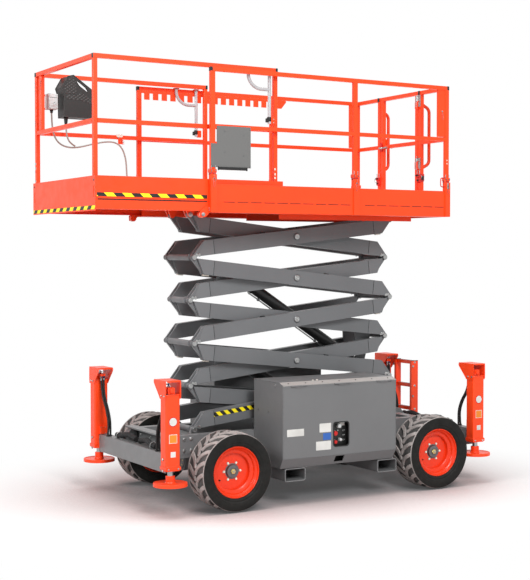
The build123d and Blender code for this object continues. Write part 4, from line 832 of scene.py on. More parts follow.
def dress_outriggers():
    for end, x in LEG_X.items():
        for hand, s in (("left", 1), ("right", -1)):
            trim = Piece(f"outrigger_trim_{end}_{hand}", "chassis", "orange", "zinc", "steel", "plate", "blue",
                         "red_paint", "amber", slot="orange_paint")
            out_y, in_y = LEG_Y + 0.053, LEG_Y - 0.053
            put = partial(trim.add, mirror_y=s < 0)

            # hood: rolled lips along the cheeks, a rib across the top and two bolts low on each cheek
            for sx in (1, -1):
                face = x + sx * 0.068
                turn = axes((sx, 0, 0))
                for y in (0.706, 0.757):
                    put(lathe([(0, 0), (0.0085, 0), (0.0088, 0.0006), (0.0088, 0.0016), (0, 0.0016)], 18), "zinc",
                        (face, y, 0.981), turn)
                    put(stud(0.0062, 0.0065, 0.001, 0.0048, 0.005, 0.006), "zinc", (face + sx * 0.0014, y, 0.981),
                        turn)
                lip = ((0.5745, 1.103), (0.5745, 1.073), (0.662, 0.985), (0.684, 0.958), (0.764, 0.958),
                       (0.783, 0.972), (0.783, 1.1))
                put(hose([(face, y, z) for y, z in lip], 0.0022, 6, 3), "orange")
            put(block(0.128, 0.004, 0.014, 0.001), "orange", (x, 0.5765, 1.0965))
            put(block(0.11, 0.0022, 0.012, 0.0008), "orange", (x, 0.785, 1.0985))
            # welds round the tube's mouth and foot, and the collar's bolts
            for z, w in ((0.99, 0.0035), (0.411, 0.003)):
                o = rounded(0.13, 0.108, 0.015, 4)
                path = [(x + a, LEG_Y + b, z) for a, b in o]
                put(hose(path, w, 6, 1, True), "orange")
            for dx in (-0.044, 0.044):
                put(stud(0.0075, 0.008, 0.001, 0.0046, 0.006, 0.0058), "zinc", (x + dx, out_y + 0.004, 0.392), OUT)
            # clevis: pin heads, and the hose ends on their block
            for sy in (1, -1):
                put(stud(0.0165, 0.0175, 0.001, 0.004, 0.015, 0.0052, 24), "orange", (x, LEG_Y + sy * 0.032, 1.021),
                    (0, sy, 0))
            put(block(0.07, 0.062, 0.006, 0.0015), "steel", (x, LEG_Y, 0.989))
            for dx, look in ((-0.013, "blue"), (0.013, "zinc")):
                nut(trim, (x + dx, s * (in_y - 0.028), 1.009), (0, 0, 1), 0.0175, 0.015, look)
                nut(trim, (x + dx, s * (in_y - 0.028), 1.06), (0, 0, 1), 0.0165, 0.01, "zinc")
                trim.add(stud(0.0098, 0.0104, 0.001, 0.019, 0.0092, 0.021, 20), "zinc",
                         (x + dx, s * (in_y - 0.0285), 0.986))
            nut(trim, (x, s * 0.7, 1.045), (0, 0, 1), 0.02, 0.012, "zinc")
            trim.add(rod(0.0065, 0.016, 0.001, 14), "blue", (x, s * 0.7, 1.057))
            # junction box on the inner side
            bz = 0.538
            put(block(0.056, 0.0035, 0.068, 0.0012), "orange", (x, in_y - 0.0355, bz))
            for dx in (-0.021, 0.021):
                for dz in (-0.026, 0.026):
                    put(lathe([(0, 0), (0.004, 0), (0.004, 0.0016), (0.003, 0.0026), (0, 0.0026)], 12), "zinc",
                        (x + dx, in_y - 0.0372, bz + dz), IN)
            # blank labels
            disc = lathe([(0, 0), (0.0395, 0), (0.04, 0.0004), (0.04, 0.0009), (0, 0.001)], 40)
            put(disc, "red_paint", (x, out_y - 0.0001, 0.773), OUT)
            put(lathe([(0, 0), (0.0325, 0), (0.033, 0.0004), (0.033, 0.0005), (0, 0.0006)], 40), "plate",
                (x, out_y + 0.0008, 0.773), OUT)
            put(side_plate(rect(x - 0.036, x + 0.036, 0.6, 0.672), out_y - 0.0001, out_y + 0.0009), "plate")
            put(side_plate(rect(x - 0.032, x + 0.032, 0.604, 0.668), out_y + 0.0008, out_y + 0.0013), "amber")
            put(side_plate(rect(x - 0.022, x + 0.022, 0.488, 0.532), out_y - 0.0001, out_y + 0.0009), "plate")
            # beam end: two bolts that hold the tube to the beam
            for dz in (-0.046, 0.046):
                put(stud(0.0115, 0.012, 0.001, 0.0062, 0.0095, 0.008), "zinc",
                    (x + (0.064 if end == "front" else -0.064), 0.727, 0.4225 + dz),
                    (1 if end == "front" else -1, 0, 0))
            trim.make()

            foot = Piece(f"outrigger_foot_trim_{end}_{hand}", f"leg_{end}_{hand}", "orange", "zinc",
                         slot="orange_paint")
            foot.add(lathe([(0.0376, 0.0), (0.044, 0.0), (0.0452, 0.0012), (0.0415, 0.006), (0.039, 0.012),
                            (0.0376, 0.012)], 36), "orange", (x, s * LEG_Y, 0.274))
            foot.add(lathe([(0.0242, 0.0), (0.0345, 0.0), (0.0378, -0.002), (0.0382, -0.009), (0.0376, -0.009),
                            (0.0242, -0.009)], 36), "orange", (x, s * LEG_Y, 0.3325))
            foot.add(lathe([(0.1285, 0.0), (0.1385, 0.0), (0.1398, -0.0016), (0.1385, 0.0024), (0.13, 0.0034),
                            (0.1285, 0.0024)], 64), "orange", (x, s * LEG_Y, 0.274))
            foot.make()
            leg = nodes[f"leg_{end}_{hand}"]
            leg.data.materials.append(M["zinc"])
            for poly in leg.data.polygons:
                centre = leg.matrix_world @ poly.center
                if centre.z > LEG_SLEEVE_Z:
                    poly.material_index = 1


dress_outriggers()


# ================================================================ chassis
def dress_chassis():
    trim = Piece("chassis_trim", "chassis", "grey", "zinc", "yellow_zinc", "steel", "cap", slot="grey_paint")
    # main rails' side plates and the bolts at the front lugs
    for x in (1.211, 1.279, 1.36, -1.23, -1.32):
        for z in (0.56, 0.455):
            for s in (1, -1):
                bolt(trim, (x, s * 0.365, z), (0, s, 0), 0.019, "zinc")
    for s in (1, -1):
        plate = side_plate([(1.185, 0.44), (1.395, 0.42), (1.395, 0.58), (1.185, 0.58)], 0.3648, 0.369)
        trim.add(plate if s > 0 else mirrored(plate), "grey")
    for x in (1.211, 1.279, 1.36):
        for z in (0.556, 0.462):
            for s in (1, -1):
                bolt(trim, (x, s * 0.3688, z), (0, s, 0), 0.018, "zinc")
    # bolted cover plates on the axles' gear cases and their drain plugs
    for end, sx in ((1, 1), (-1, -1)):
        ax = end * WHEELBASE / 2
        face = ax + sx * 0.09
        trim.add(lathe([(0, 0), (0.086, 0), (0.088, 0.002), (0.088, 0.007), (0.082, 0.01), (0.04, 0.012),
                        (0.036, 0.018), (0, 0.018)], 48), "grey", (face, 0, AXLE_Z), (sx, 0, 0))
        for k in range(10):
            a = 2 * PI * k / 10
            bolt(trim, (face + sx * 0.009, 0.07 * math.cos(a), AXLE_Z + 0.07 * math.sin(a)), (sx, 0, 0), 0.0115,
                 "yellow_zinc", False)
        bolt(trim, (face + sx * 0.017, 0, AXLE_Z), (sx, 0, 0), 0.026, "zinc")
        for s in (1, -1):
            for z in (0.352, 0.308):
                bolt(trim, (ax + sx * 0.06, s * 0.33, z), (sx, 0, 0), 0.017, "yellow_zinc")
                bolt(trim, (ax + sx * 0.06, s * 0.395, z), (sx, 0, 0), 0.017, "zinc")
            trim.add(block(0.01, 0.118, 0.092, 0.002), "grey", (ax + sx * 0.062, s * 0.362, AXLE_Z))
            for z in (0.362, 0.298):
                for y in (0.318, 0.406):
                    bolt(trim, (ax + sx * 0.0665, s * y, z), (sx, 0, 0), 0.016, "yellow_zinc")
    # front axle: yoke plates with their bolts, and the bolts at the tie rod's ends
    ax = WHEELBASE / 2
    for s in (1, -1):
        for z in (AXLE_Z - 0.045, AXLE_Z + 0.065):
            for y in (0.458, 0.522):
                bolt(trim, (ax + 0.082, s * y, z), FORE, 0.02, "yellow_zinc")
        trim.add(block(0.004, 0.1, 0.146, 0.0015), "steel", (ax + 0.083, s * 0.4856, AXLE_Z + 0.01))
    for s in (1, -1):
        for z0, d in ((AXLE_Z + 0.135, UP), (AXLE_Z - 0.15, DOWN)):
            bolt(trim, (ax, s * 0.6005, z0), d, 0.024, "zinc")
    # channel across the front: bolts and cable clips
    for y in (-0.33, -0.2, 0.0, 0.2, 0.33):
        bolt(trim, (1.414, y, 0.542), FORE, 0.016, "zinc")
    for y in (-0.27, 0.27):
        trim.add(block(0.02, 0.06, 0.055, 0.002), "cap", (1.424, y, 0.54))
        trim.add(block(0.003, 0.05, 0.045, 0.001), "steel", (1.435, y, 0.54))
    # beams: end welds
    for end in (1, -1):
        for s in (1, -1):
            path = [(end * 1.598, s * 0.672, 0.347), (end * 1.5985, s * 0.6725, 0.499),
                    (end * 1.522, s * 0.6725, 0.4985)]
            trim.add(hose(path, 0.003, 6, 3), "grey")
    # tie-down eyes: shackle bushes
    for y in (-0.2, 0.2):
        for sx in (1, -1):
            trim.add(lathe([(0.0142, 0), (0.0235, 0), (0.0245, 0.001), (0.0245, 0.0028), (0.0142, 0.0028)], 24),
                     "steel", (-1.56 + sx * 0.008, y, 0.311), (sx, 0, 0))
    trim.make()

    # fork pockets: a rolled rim at each mouth
    rims = Piece("fork_pocket_rims", "chassis", "grey", slot="grey_paint")
    for x in (0.444, -0.51):
        for s in (1, -1):
            outer = [(x + a, 0.251 + b) for a, b in rounded(0.2058, 0.1118, 0.02, 6)]
            inner = [(x + a, 0.251 + b) for a, b in rounded(0.1905, 0.0965, 0.0125, 6)]
            ring = side_ring(outer, inner, 0.002, 0.7995)
            rims.add(ring if s > 0 else mirrored(ring), "grey")
    rims.make()


dress_chassis()


# ================================================================ cabinets
def dress_cabinets():
    for hand, s in (("left", 1), ("right", -1)):
        trim = Piece(f"cabinet_trim_{hand}", "chassis", "strip", "cap", "zinc", "pad", "cab", "steel",
                     slot="grey_paint")
        put = partial(trim.add, mirror_y=s < 0)

        # the sloped strip with its screws, its pale paint a painted sheen
        low, top = Vector((0, 0.85, 1.015)), Vector((0, 0.79, 1.04))
        along = (top - low).normalized()
        outward = Vector((0, along.z, -along.y)).normalized()
        middle = (low + top) / 2
        turn = Matrix((Vector((1, 0, 0)), outward.cross(Vector((1, 0, 0))), outward)).transposed().to_4x4()
        put(block(1.161, 0.0605, 0.0016, 0.0005), "strip", Vector((0.0125, 0, 0)) + middle + outward * 0.0006, turn)
        for k in range(7):
            x = -0.5 + k * 0.171
            put(lathe([(0, 0), (0.0066, 0), (0.0066, 0.0012), (0.0052, 0.0026), (0.0024, 0.003), (0, 0.0022)], 14),
                "cap", Vector((x, 0, 0)) + middle + outward * 0.0012, turn)
        # a thin strip along the doors' top edge in the same pale paint, a painted sheen
        put(side_plate(rect(-0.57, 0.595, 1.012, 1.0155), 0.849, 0.8512), "strip")
        # two small pale bolts on the top sheet
        for x in (0.208, 0.249):
            put(stud(0.0085, 0.009, 0.001, 0.0048, 0.007, 0.006), "pad", (x, 0.77, 1.04))
        # front and rear sheets: screws and the fold at the outer corner
        for x, sx in ((0.595, 1), (-0.57, -1)):
            for y, z in ((0.437, 0.777), (0.612, 0.777), (0.727, 1.01)):
                put(lathe([(0, 0), (0.0085, 0), (0.009, 0.0008), (0.009, 0.0016), (0.0065, 0.0022), (0.0065, 0.0048),
                           (0.005, 0.006), (0, 0.006)], 16), "steel" if z < 1 else "zinc", (x, y, z), (sx, 0, 0))
            corners = ((0.366, 1.0375), (0.788, 1.0375), (0.8465, 1.0125), (0.8465, 0.397), (0.7985, 0.3155),
                       (0.366, 0.3155))
            put(hose([(x + sx * 0.0002, y, z) for y, z in corners], 0.0024, 6, 1), "cab")
        trim.make()

        door = Piece(f"cabinet_door_trim_{hand}", f"door_{hand}", "cab", "plate", "zinc", "cap", "dark_plastic",
                     "blue_label", slot="grey_paint")
        hang = partial(door.add, mirror_y=s < 0)

        face = 0.85
        for x0, x1, z0, z1 in ((0.115, 0.232, 0.6, 0.676), (0.115, 0.196, 0.533, 0.592), (0.115, 0.267, 0.449, 0.524),
                               (0.388, 0.556, 0.584, 0.645)):
            if hand == "right":
                x0, x1 = -x1, -x0
            hang(side_plate([(x, z) for x, z in shifted(rounded(x1 - x0, z1 - z0, 0.004, 3), (x0 + x1) / 2,
                                                        (z0 + z1) / 2)], face - 0.0001, face + 0.0009),
                 "blue_label" if z0 == 0.533 else "plate")
        # flanged sheet edges, the left door's window frame and the right door's louvres
        for x in (-0.5655, 0.5905):
            hang(block(0.0035, 0.0022, 0.59, 0.0008), "cab", (x, face + 0.0006, 0.7))
        for z in (0.3995, 0.9985):
            hang(block(1.152, 0.0022, 0.0035, 0.0008), "cab", (0.0125, face + 0.0006, z))
        if hand == "left":
            middle = sum((-0.065, 0.086)) / 2, sum((0.473, 0.674)) / 2
            outer = shifted(rounded(0.167, 0.217, 0.028, 6), *middle)
            inner = shifted(rounded(0.1495, 0.1995, 0.021, 6), *middle)
            hang(side_ring(outer, inner, 0.003, face - 0.0006), "cap")
        else:
            for k in range(5):
                hang(block(0.15, 0.0036, 0.0085, 0.0015), "cap", (-0.02, face + 0.0008, 0.86 + k * 0.022))
        door.make()

    # ground controls behind the left door's window
    panel = Piece("ground_control_face", "chassis", "dark_plastic", "red", "grey_plastic", "zinc", "cap", "plate",
                  slot="black_plastic")
    deep = 0.8
    panel.add(side_plate(shifted(rounded(0.205, 0.245, 0.01, 4), 0.0105, 0.575), deep - 0.001, deep + 0.003), "cap")
    for x, z, look, r in ((0.052, 0.578, "red", 0.0205), (0.052, 0.503, "red", 0.0165),
                          (0.012, 0.639, "grey_plastic", 0.0175), (0.0, 0.521, "grey_plastic", 0.0125)):
        panel.add(lathe([(0, 0), (r * 0.62, 0), (r * 0.62, 0.012), (r, 0.016), (r * 1.02, 0.024), (r * 0.92, 0.03),
                         (r * 0.6, 0.0325), (0, 0.033)], 28), look, (x, deep + 0.0028, z), OUT)
        panel.add(lathe([(0, 0), (r * 1.15, 0), (r * 1.2, 0.001), (r * 1.15, 0.0025), (0, 0.0025)], 28), "zinc",
                  (x, deep + 0.0026, z), OUT)
    for k in range(3):
        x, z = -0.04, 0.515 + k * 0.04
        panel.add(lathe([(0, 0), (0.0085, 0), (0.009, 0.001), (0.009, 0.004), (0, 0.004)], 6), "zinc",
                  (x, deep + 0.0028, z), OUT)
        panel.add(lathe([(0, 0), (0.003, 0), (0.0042, 0.012), (0.0036, 0.018), (0, 0.0195)], 12), "zinc",
                  (x, deep + 0.0065, z), (0, 1, 0.35))
    panel.add(side_plate(rect(-0.055, 0.0, 0.64, 0.668), deep + 0.0028, deep + 0.0036), "plate")
    panel.add(lathe([(0, 0), (0.008, 0), (0.008, 0.006), (0.006, 0.01), (0, 0.011)], 14), "zinc",
              (0.02, deep + 0.0028, 0.601), OUT)
    panel.make()


dress_cabinets()


# ================================================================ ladder
def dress_ladder():
    trim = Piece("ladder_trim", "chassis", "orange", "zinc", "cap", "steel", slot="orange_paint")
    x1 = -1.6
    x0 = x1 - 0.08
    left, right = -0.29, -0.58
    step = (1.052 - 0.3 - 0.034) / 3
    grip_ring = lathe([(0.0045, 0), (0.0095, 0), (0.0085, 0.002), (0.006, 0.0026), (0.0045, 0.002)], 14)
    for n in range(4):
        z = 0.3 + 0.018 + n * (step - 0.006)
        for k in range(7):
            y = right + 0.035 + k * 0.0367
            for dx in (0.034, 0.049):
                trim.add(grip_ring, "steel", (x0 + dx, y, z + 0.034))
        for y, d in ((left, OUT), (right, IN)):
            bolt(trim, (x0 + 0.04, y, z + 0.017), d, 0.013, "zinc")
    for y, d in ((left, 1), (right, -1)):
        for z in (0.36, 0.7, 1.0):
            bolt(trim, (x1 - 0.005, y + d * 0.0175, z), AFT, 0.014, "zinc")
        trim.add(block(0.006, 0.0058, 0.748, 0.0026), "orange", (x0 + 0.0026, y - d * 0.0025, 0.676))
        trim.add(block(0.083, 0.0072, 0.006, 0.0024), "cap", (x0 + 0.04, y - d * 0.0025, 1.053))
    trim.make()


dress_ladder()


# ================================================================ hoses and cables
def curve_hose(name, body, routes, radius, look):
    """Smooth lines along routes given in the drawing's millimetres."""
    data = bpy.data.curves.new(name, "CURVE")
    data.dimensions = "3D"
    data.bevel_depth, data.bevel_resolution, data.use_fill_caps = radius, 5, True
    data.resolution_u = 8
    for route in routes:
        spline = data.splines.new("NURBS")
        spline.points.add(len(route) - 1)
        for point, (x, y, z) in zip(spline.points, route):
            point.co = (x / 1000 - MIDDLE_X, y / 1000, z / 1000, 1.0)
        spline.order_u = 3
        spline.use_endpoint_u = True
    obj = bpy.data.objects.new(name, data)
    bpy.context.scene.collection.objects.link(obj)
    data.materials.append(M[look])
    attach(obj, body)
    return obj


def leg_route(x, dx, side):
    in_y, near = 674, dx * 0.72
    points = [(x + dx, in_y - 28, 1024.1), (x + near, in_y - 31, 925), (x + near + 1, in_y - 64, 830),
              (x + near + 2, in_y - 132, 745), (x + near, in_y - 176, 650), (x + near - 1, in_y - 180, 570),
              (x + dx, in_y - 172, 500.9)]
    return [(a, side * b, c) for a, b, c in points]


legs, sleeves = [], []
for leg_x in (1584, -1571):                # millimetres
    for dx in (-13, 13):
        for side in (1, -1):
            legs.append(leg_route(leg_x, dx, side))
for end in (1, -1):
    x, z = end * 1550, 524.3
    for side in (1, -1):
        sleeves.append([(x, side * 400, z), (x + end * 5, side * 310, z + 3), (x - end * 6, side * 215, z + 26),
                        (x - end * 26, side * 120, z + 18), (x - end * 20, side * 40, z)])
leg_hoses = curve_hose("leg_hoses", "chassis", legs, 0.0092, "rubber")
beam_sleeves = curve_hose("beam_sleeves", "chassis", sleeves, 0.024, "sleeve")
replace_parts(leg_hoses, "outrigger_hoses")
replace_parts(beam_sleeves, "outrigger_hoses")

plug_x, plug_y, plug_z = 2082.0, -574.0, 3372.0
main_cable = [(0, 0, -0.9), (-2, 0, -98), (-13, -1, -200), (-57, -3, -284), (-145, -5, -322), (-255, -6, -316),
              (-385, -8, -280), (-505, -10, -254), (-595, -10, -252), (-662, -8, -290), (-702, -6, -384),
              (-713, -6, -512), (-715, -7, -660), (-713, -8, -809.1)]
main_cable = [(plug_x + a, plug_y + b, plug_z + c) for a, b, c in main_cable]
nose_x, nose_y, nose_z = 1965.0, -535.0, 3307.0
short_cable = [(nose_x + a, nose_y + b, nose_z + c) for a, b,
               c in ((0, 0, -0.9), (-1, -2, -76), (-10, -10, -152), (-40, -20, -216), (-94, -26, -242))]
deck_cables = curve_hose("deck_cables", "extension", [main_cable, short_cable], 0.007, "cable")
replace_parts(deck_cables, "platform_cables")


def dress_lines():
    fit = Piece("line_fittings", "chassis", "cap", "zinc", slot="black_plastic")
    for leg_x in (1.584, -1.571):
        for s in (1, -1):
            for dx in (-0.013, 0.013):
                fit.add(lathe([(0, 0), (0.012, 0), (0.0125, 0.001), (0.0125, 0.01), (0.0105, 0.013), (0.0082, 0.014),
                               (0.0082, 0.0)], 20), "cap", (leg_x + dx, s * 0.502, 0.5002))
    for end in (1, -1):
        for s in (1, -1):
            x = end * 1.55
            bow = ((-0.03, 0.501), (-0.029, 0.53), (-0.018, 0.55), (0.002, 0.556), (0.022, 0.55), (0.033, 0.53),
                   (0.034, 0.501))
            fit.add(hose([(x + dx, s * 0.345, z) for dx, z in bow], 0.003, 8, 3), "zinc")
    fit.make()


dress_lines()


# ================================================================ platform
def dress_rail_ends(piece, x, sx, y, z, w, h, look="cap"):
    """A black cap on a tube's open end that faces along X."""
    piece.add(block(0.024, w + 0.0016, h + 0.0016, 0.0016), look, (x - sx * 0.0095, y, z))


HINGE_X, HINGE_Z, HINGE_H = DECK_REAR + 0.0432, (3.555, 2.968), 0.108


def hinge_leaf(piece, z, y, width, screw_y, radii, knuckle=False):
    """One leaf of a gate hinge with its five screws, whose radii are at the foot, rim and crown."""
    piece.add(block(0.0026, width, HINGE_H, 0.0008), "zinc", (HINGE_X + 0.0006, y, z))
    if knuckle:
        piece.add(rod(0.006, HINGE_H, 0.001, 14), "zinc", (HINGE_X + 0.005, 0.311, z - 0.054))
    foot, rim, crown = radii
    for dz in (-0.04, -0.02, 0.0, 0.02, 0.04):
        head = lathe([(0, 0), (foot, 0), (rim, 0.0006), (crown, 0.0018), (0, 0.0022)], 10)
        piece.add(head, "steel", (HINGE_X + 0.0018, screw_y, z + dz), FORE)


RAIL_OUT = DECK_Y - 0.004                 # the rails' outer and inner faces, middle and height
RAIL_IN = RAIL_OUT - RAIL_W
RAIL_MID = (RAIL_IN + RAIL_OUT) / 2
RAIL_Z = RAIL_TOP_Z - TUBE / 2
GATE_X = DECK_REAR + 0.004


def dress_deck_sides(trim):
    """Side plates: a dashed seam line of painted shadow, a rolled edge at the foot and at the top."""
    both = trim.both
    x = DECK_REAR + 0.06
    while x < DECK_FRONT - 0.1:
        if not any(post - 0.13 < x < post + 0.05 for post in POSTS_X):
            both(block(0.105, 0.0012, 0.006, 0.0003), "seam", (x + 0.0525, DECK_Y + 0.0002, 2.547))
        x += 0.128
    both(hose([(DECK_REAR + 0.002, DECK_Y - 0.0012, TOE_TOP - 0.001),
               (DECK_FRONT - 0.002, DECK_Y - 0.0012, TOE_TOP - 0.001)], 0.0026, 8, 1), "orange")
    both(hose([(DECK_REAR + 0.002, DECK_Y - 0.0012, 2.4612), (DECK_FRONT - 0.002, DECK_Y - 0.0012, 2.4612)], 0.0026,
              8, 1), "orange")


def dress_posts(trim):
    """Ribs, clamps, lanyards, caps and welds at the posts."""
    both = trim.both
    under = RAIL_TOP_Z - TUBE
    # ribs at the posts: edge beads, a bolt with its lanyard, and the red clamp above
    for x in POSTS_X:
        c = x + 0.021
        face = DECK_Y + 0.012
        for dx in (-0.0255, 0.0255):
            both(hose([(c + dx, face - 0.0008, 2.462), (c + dx, face - 0.0008, 2.77)], 0.0016, 6, 1), "orange")
        both(stud(0.006, 0.0064, 0.001, 0.005, 0.005, 0.0065, 18), "steel", (c, face, 2.738), OUT)
        ring = [(c + 0.013 * math.cos(a), face + 0.0062, 2.726 + 0.013 * math.sin(a)) for a in TURNS]
        both(hose(ring, 0.0012, 6, 1, True), "zinc")
        cord = ((0.004, 0.006, 2.714), (0.01, 0.0065, 2.69), (0.002, 0.0065, 2.668), (-0.009, 0.0065, 2.69),
                (-0.006, 0.0055, 2.752), (-0.002, -0.01, 2.79))
        cord = [(c + dx, face + out, z) for dx, out, z in cord] + [(c - 0.001, RAIL_OUT + 0.0012, 2.806)]
        both(hose(cord, 0.0012, 6, 4), "steel")
        both(block(0.062, 0.046, 0.03, 0.004), "orange", (c, RAIL_MID, 2.8))
        both(block(0.052, 0.04, 0.03, 0.004), "red_paint", (c, RAIL_MID, 2.779))
        for dx in (-0.019, 0.019):
            both(lathe([(0, 0), (0.0058, 0), (0.006, 0.0008), (0.006, 0.005), (0, 0.0062)], 12), "steel",
                 (c + dx, RAIL_MID + 0.023, 2.8), OUT)
            both(rod(0.0032, 0.03, 0.001, 10), "zinc", (c + dx, RAIL_MID + 0.018, 2.814))
        swing = [(c + 0.034 + 0.019 * math.sin(a), RAIL_MID + 0.024, 2.8 + 0.019 * math.cos(a)) for a in TURNS]
        both(hose(swing, 0.0016, 6, 1, True), "steel")
    # caps on the posts' rail ends
    for x, sx in ((DECK_REAR, -1), (DECK_FRONT, 1)):
        for s in (1, -1):
            dress_rail_ends(trim, x, sx, s * RAIL_MID, RAIL_Z, RAIL_W, TUBE)
    for y, s in ((GATE_Y[1] - 0.021, -1), (GATE_Y[0] + 0.021, 1)):
        trim.add(block(0.0325, 0.003, 0.0335, 0.001), "cap", (DECK_REAR + 0.021, y + s * 0.0006, RAIL_Z))
    # welds where the posts meet the top rails and the mid rails
    for x in (-0.242, 1.167):
        both(hose([(x + 0.0005, RAIL_OUT - 0.0004, under), (x + 0.0415, RAIL_OUT - 0.0004, under)], 0.002, 6, 2),
             "orange")
    for x in (-0.242, 1.167, -1.208):
        for dx in (-0.0005, 0.0425):
            if x == -1.208 and dx > 0 or x == 1.167 and dx > 0:
                continue
            both(hose([(x + dx, RAIL_OUT - 0.0032, MID_RAIL_Z - 0.016),
                       (x + dx, RAIL_OUT - 0.0032, MID_RAIL_Z + 0.016)], 0.0019, 6, 2), "orange")


def dress_rear_corners(trim):
    """Corner plates' bolts, lanyards and folds, and what is beside the gate below them."""
    both = trim.both
    for s in (1, -1):
        face = s * (RAIL_OUT - 0.004)
        trim.add(stud(0.0075, 0.008, 0.001, 0.007, 0.006, 0.009, 18), "zinc", (-1.172, face, 3.417), (0, s, 0))
        loop = ((-1.172, 0.0065, 3.408), (-1.166, 0.007, 3.382), (-1.174, 0.007, 3.34), (-1.184, 0.007, 3.372),
                (-1.178, 0.0066, 3.404))
        trim.add(hose([(x, face + s * out, z) for x, out, z in loop], 0.0013, 6, 4), "steel")
        trim.add(block(0.003, 0.022, 0.4, 0.001), "orange", (-1.208 + 0.079, s * (RAIL_OUT - 0.014), 3.4))
    # a tie loop on the side plate, a red grip and its clips
    x = -1.1635 - 0.0315
    path = [(x, DECK_Y + out, z) for out, z in ((-0.001, 2.735), (0.0085, 2.742), (0.0095, 2.765), (0.0085, 2.792),
                                                (-0.001, 2.8))]
    both(hose(path, 0.005, 8, 5), "orange")
    grip = ((-1.212, 2.813), (-1.178, 2.813), (-1.165, 2.806), (-1.162, 2.79),
            (-1.162, 2.756), (-1.165, 2.74), (-1.178, 2.733), (-1.212, 2.733))
    both(hose([(x, RAIL_OUT - 0.006, z) for x, z in grip], 0.0048, 10, 3), "red_paint")
    both(block(0.018, 0.004, 0.056, 0.0012), "zinc", (-1.229, DECK_Y + 0.012, 2.74))
    for z in (2.944, 2.974):
        both(block(0.008, 0.005, 0.012, 0.0012), "pad", (-1.229, RAIL_OUT + 0.0015, z))


def dress_gate_posts(trim):
    """Hinge leaves, clamps, screws and the latch's strike bolt on the gate's posts."""
    for z in HINGE_Z:
        hinge_leaf(trim, z, 0.335, 0.04, 0.339, (0.0042, 0.0045, 0.004), True)
    for y, away in ((GATE_Y[0], -1), (GATE_Y[1], 1)):
        trim.add(block(0.064, 0.052, 0.034, 0.005), "red_paint", (HINGE_X - 0.015, y, 2.856))
        trim.add(block(0.056, 0.048, 0.052, 0.006), "red_paint", (HINGE_X - 0.016, y, 2.818))
        for dy in (-0.014, 0.014):
            trim.add(rod(0.007, 0.012, 0.0015, 14), "cap", (HINGE_X + 0.016, y + dy, 2.858), FORE)
            trim.add(rod(0.0036, 0.04, 0.001, 10), "zinc", (HINGE_X + 0.005, y + dy * 1.3, 2.868))
        trim.add(rod(0.0085, 0.011, 0.0015, 14), "cap", (HINGE_X + 0.011, y, 2.812), FORE)
        swing = [(HINGE_X + 0.01, y + away * (0.034 + 0.02 * math.sin(a)), 2.842 + 0.02 * math.cos(a)) for a in TURNS]
        trim.add(hose(swing, 0.0018, 6, 1, True), "zinc")
        trim.add(block(0.0034, 0.027, 0.037, 0.001), "cap", (HINGE_X - 0.0002, y - 0.006, RAIL_Z))
    for z in (2.963, 3.517):
        for dz in (0.012, 0.03, 0.048):
            trim.add(stud(0.0052, 0.0055, 0.0008, 0.0026, 0.004, 0.0036, 12), "zinc", (GATE_X, GATE_Y[1], z + dz),
                     AFT)
        trim.add(block(0.0022, 0.04, 0.07, 0.0008), "steel", (GATE_X - 0.0004, GATE_Y[1], z + 0.03))
        trim.add(stud(0.0088, 0.0094, 0.001, 0.004, 0.007, 0.006, 18), "zinc", (-1.203, 0.311, z + 0.0685))
    for y in GATE_Y:
        trim.add(block(0.0425, 0.054, 0.056, 0.002), "red_paint", (GATE_X + 0.017, y, 2.833))
        for dy in (-0.0285, 0.0285):
            trim.add(block(0.03, 0.004, 0.04, 0.001), "cap", (GATE_X + 0.017, y + dy, 2.833))
        trim.add(stud(0.007, 0.0075, 0.001, 0.005, 0.0055, 0.007), "zinc", (GATE_X - 0.0043, y, 2.833), AFT)
        for z in (2.93, 3.52):
            trim.add(lathe([(0.0152, 0.0), (0.0225, 0.0), (0.0228, 0.001), (0.02, 0.0034), (0.0165, 0.0048),
                            (0.0152, 0.0048)], 24), "orange", (GATE_X + 0.0004, y, z), AFT)
    # latch: strike bolt on the post
    trim.add(lathe([(0.0, 0.0), (0.007, 0.0), (0.007, 0.044), (0.006, 0.045), (0.0, 0.045)], 18), "zinc",
             (DECK_REAR + 0.021, GATE_Y[0] - 0.005 - 0.045, 3.16), OUT)


def dress_deck_front(trim):
    """The front corners' bolts, the document plate's screws and the bar below it."""
    for s in (1, -1):
        for z in (2.478, 2.495):
            trim.add(stud(0.0062, 0.0065, 0.0008, 0.0045, 0.005, 0.006), "zinc", (DECK_FRONT + 0.006, s * 0.7125, z),
                     FORE)
    for x, z in ((1.084, 3.126), (0.905, 3.1), (0.848, 3.15), (1.082, 2.955), (0.905, 2.932), (1.198, 3.01),
                 (1.198, 2.842), (0.848, 2.842)):
        trim.add(stud(0.004, 0.0044, 0.0008, 0.0022, 0.003, 0.003, 12), "steel", (x, RAIL_OUT + 0.005, z), OUT)
    trim.add(block(0.273, 0.015, 0.024, 0.003), "cap", (1.0095, RAIL_OUT + 0.0075, 2.8215))
    for x in (0.876, 1.143):
        trim.add(block(0.006, 0.017, 0.03, 0.002), "cap", (x, RAIL_OUT + 0.0085, 2.8215))


def dress_platform():
    trim = Piece("platform_trim", "platform", "orange", "cap", "zinc", "steel", "seam", "pad", "red_paint",
                 slot="orange_paint")
    dress_deck_sides(trim)
    dress_posts(trim)
    dress_rear_corners(trim)
    dress_gate_posts(trim)
    dress_deck_front(trim)
    trim.make()


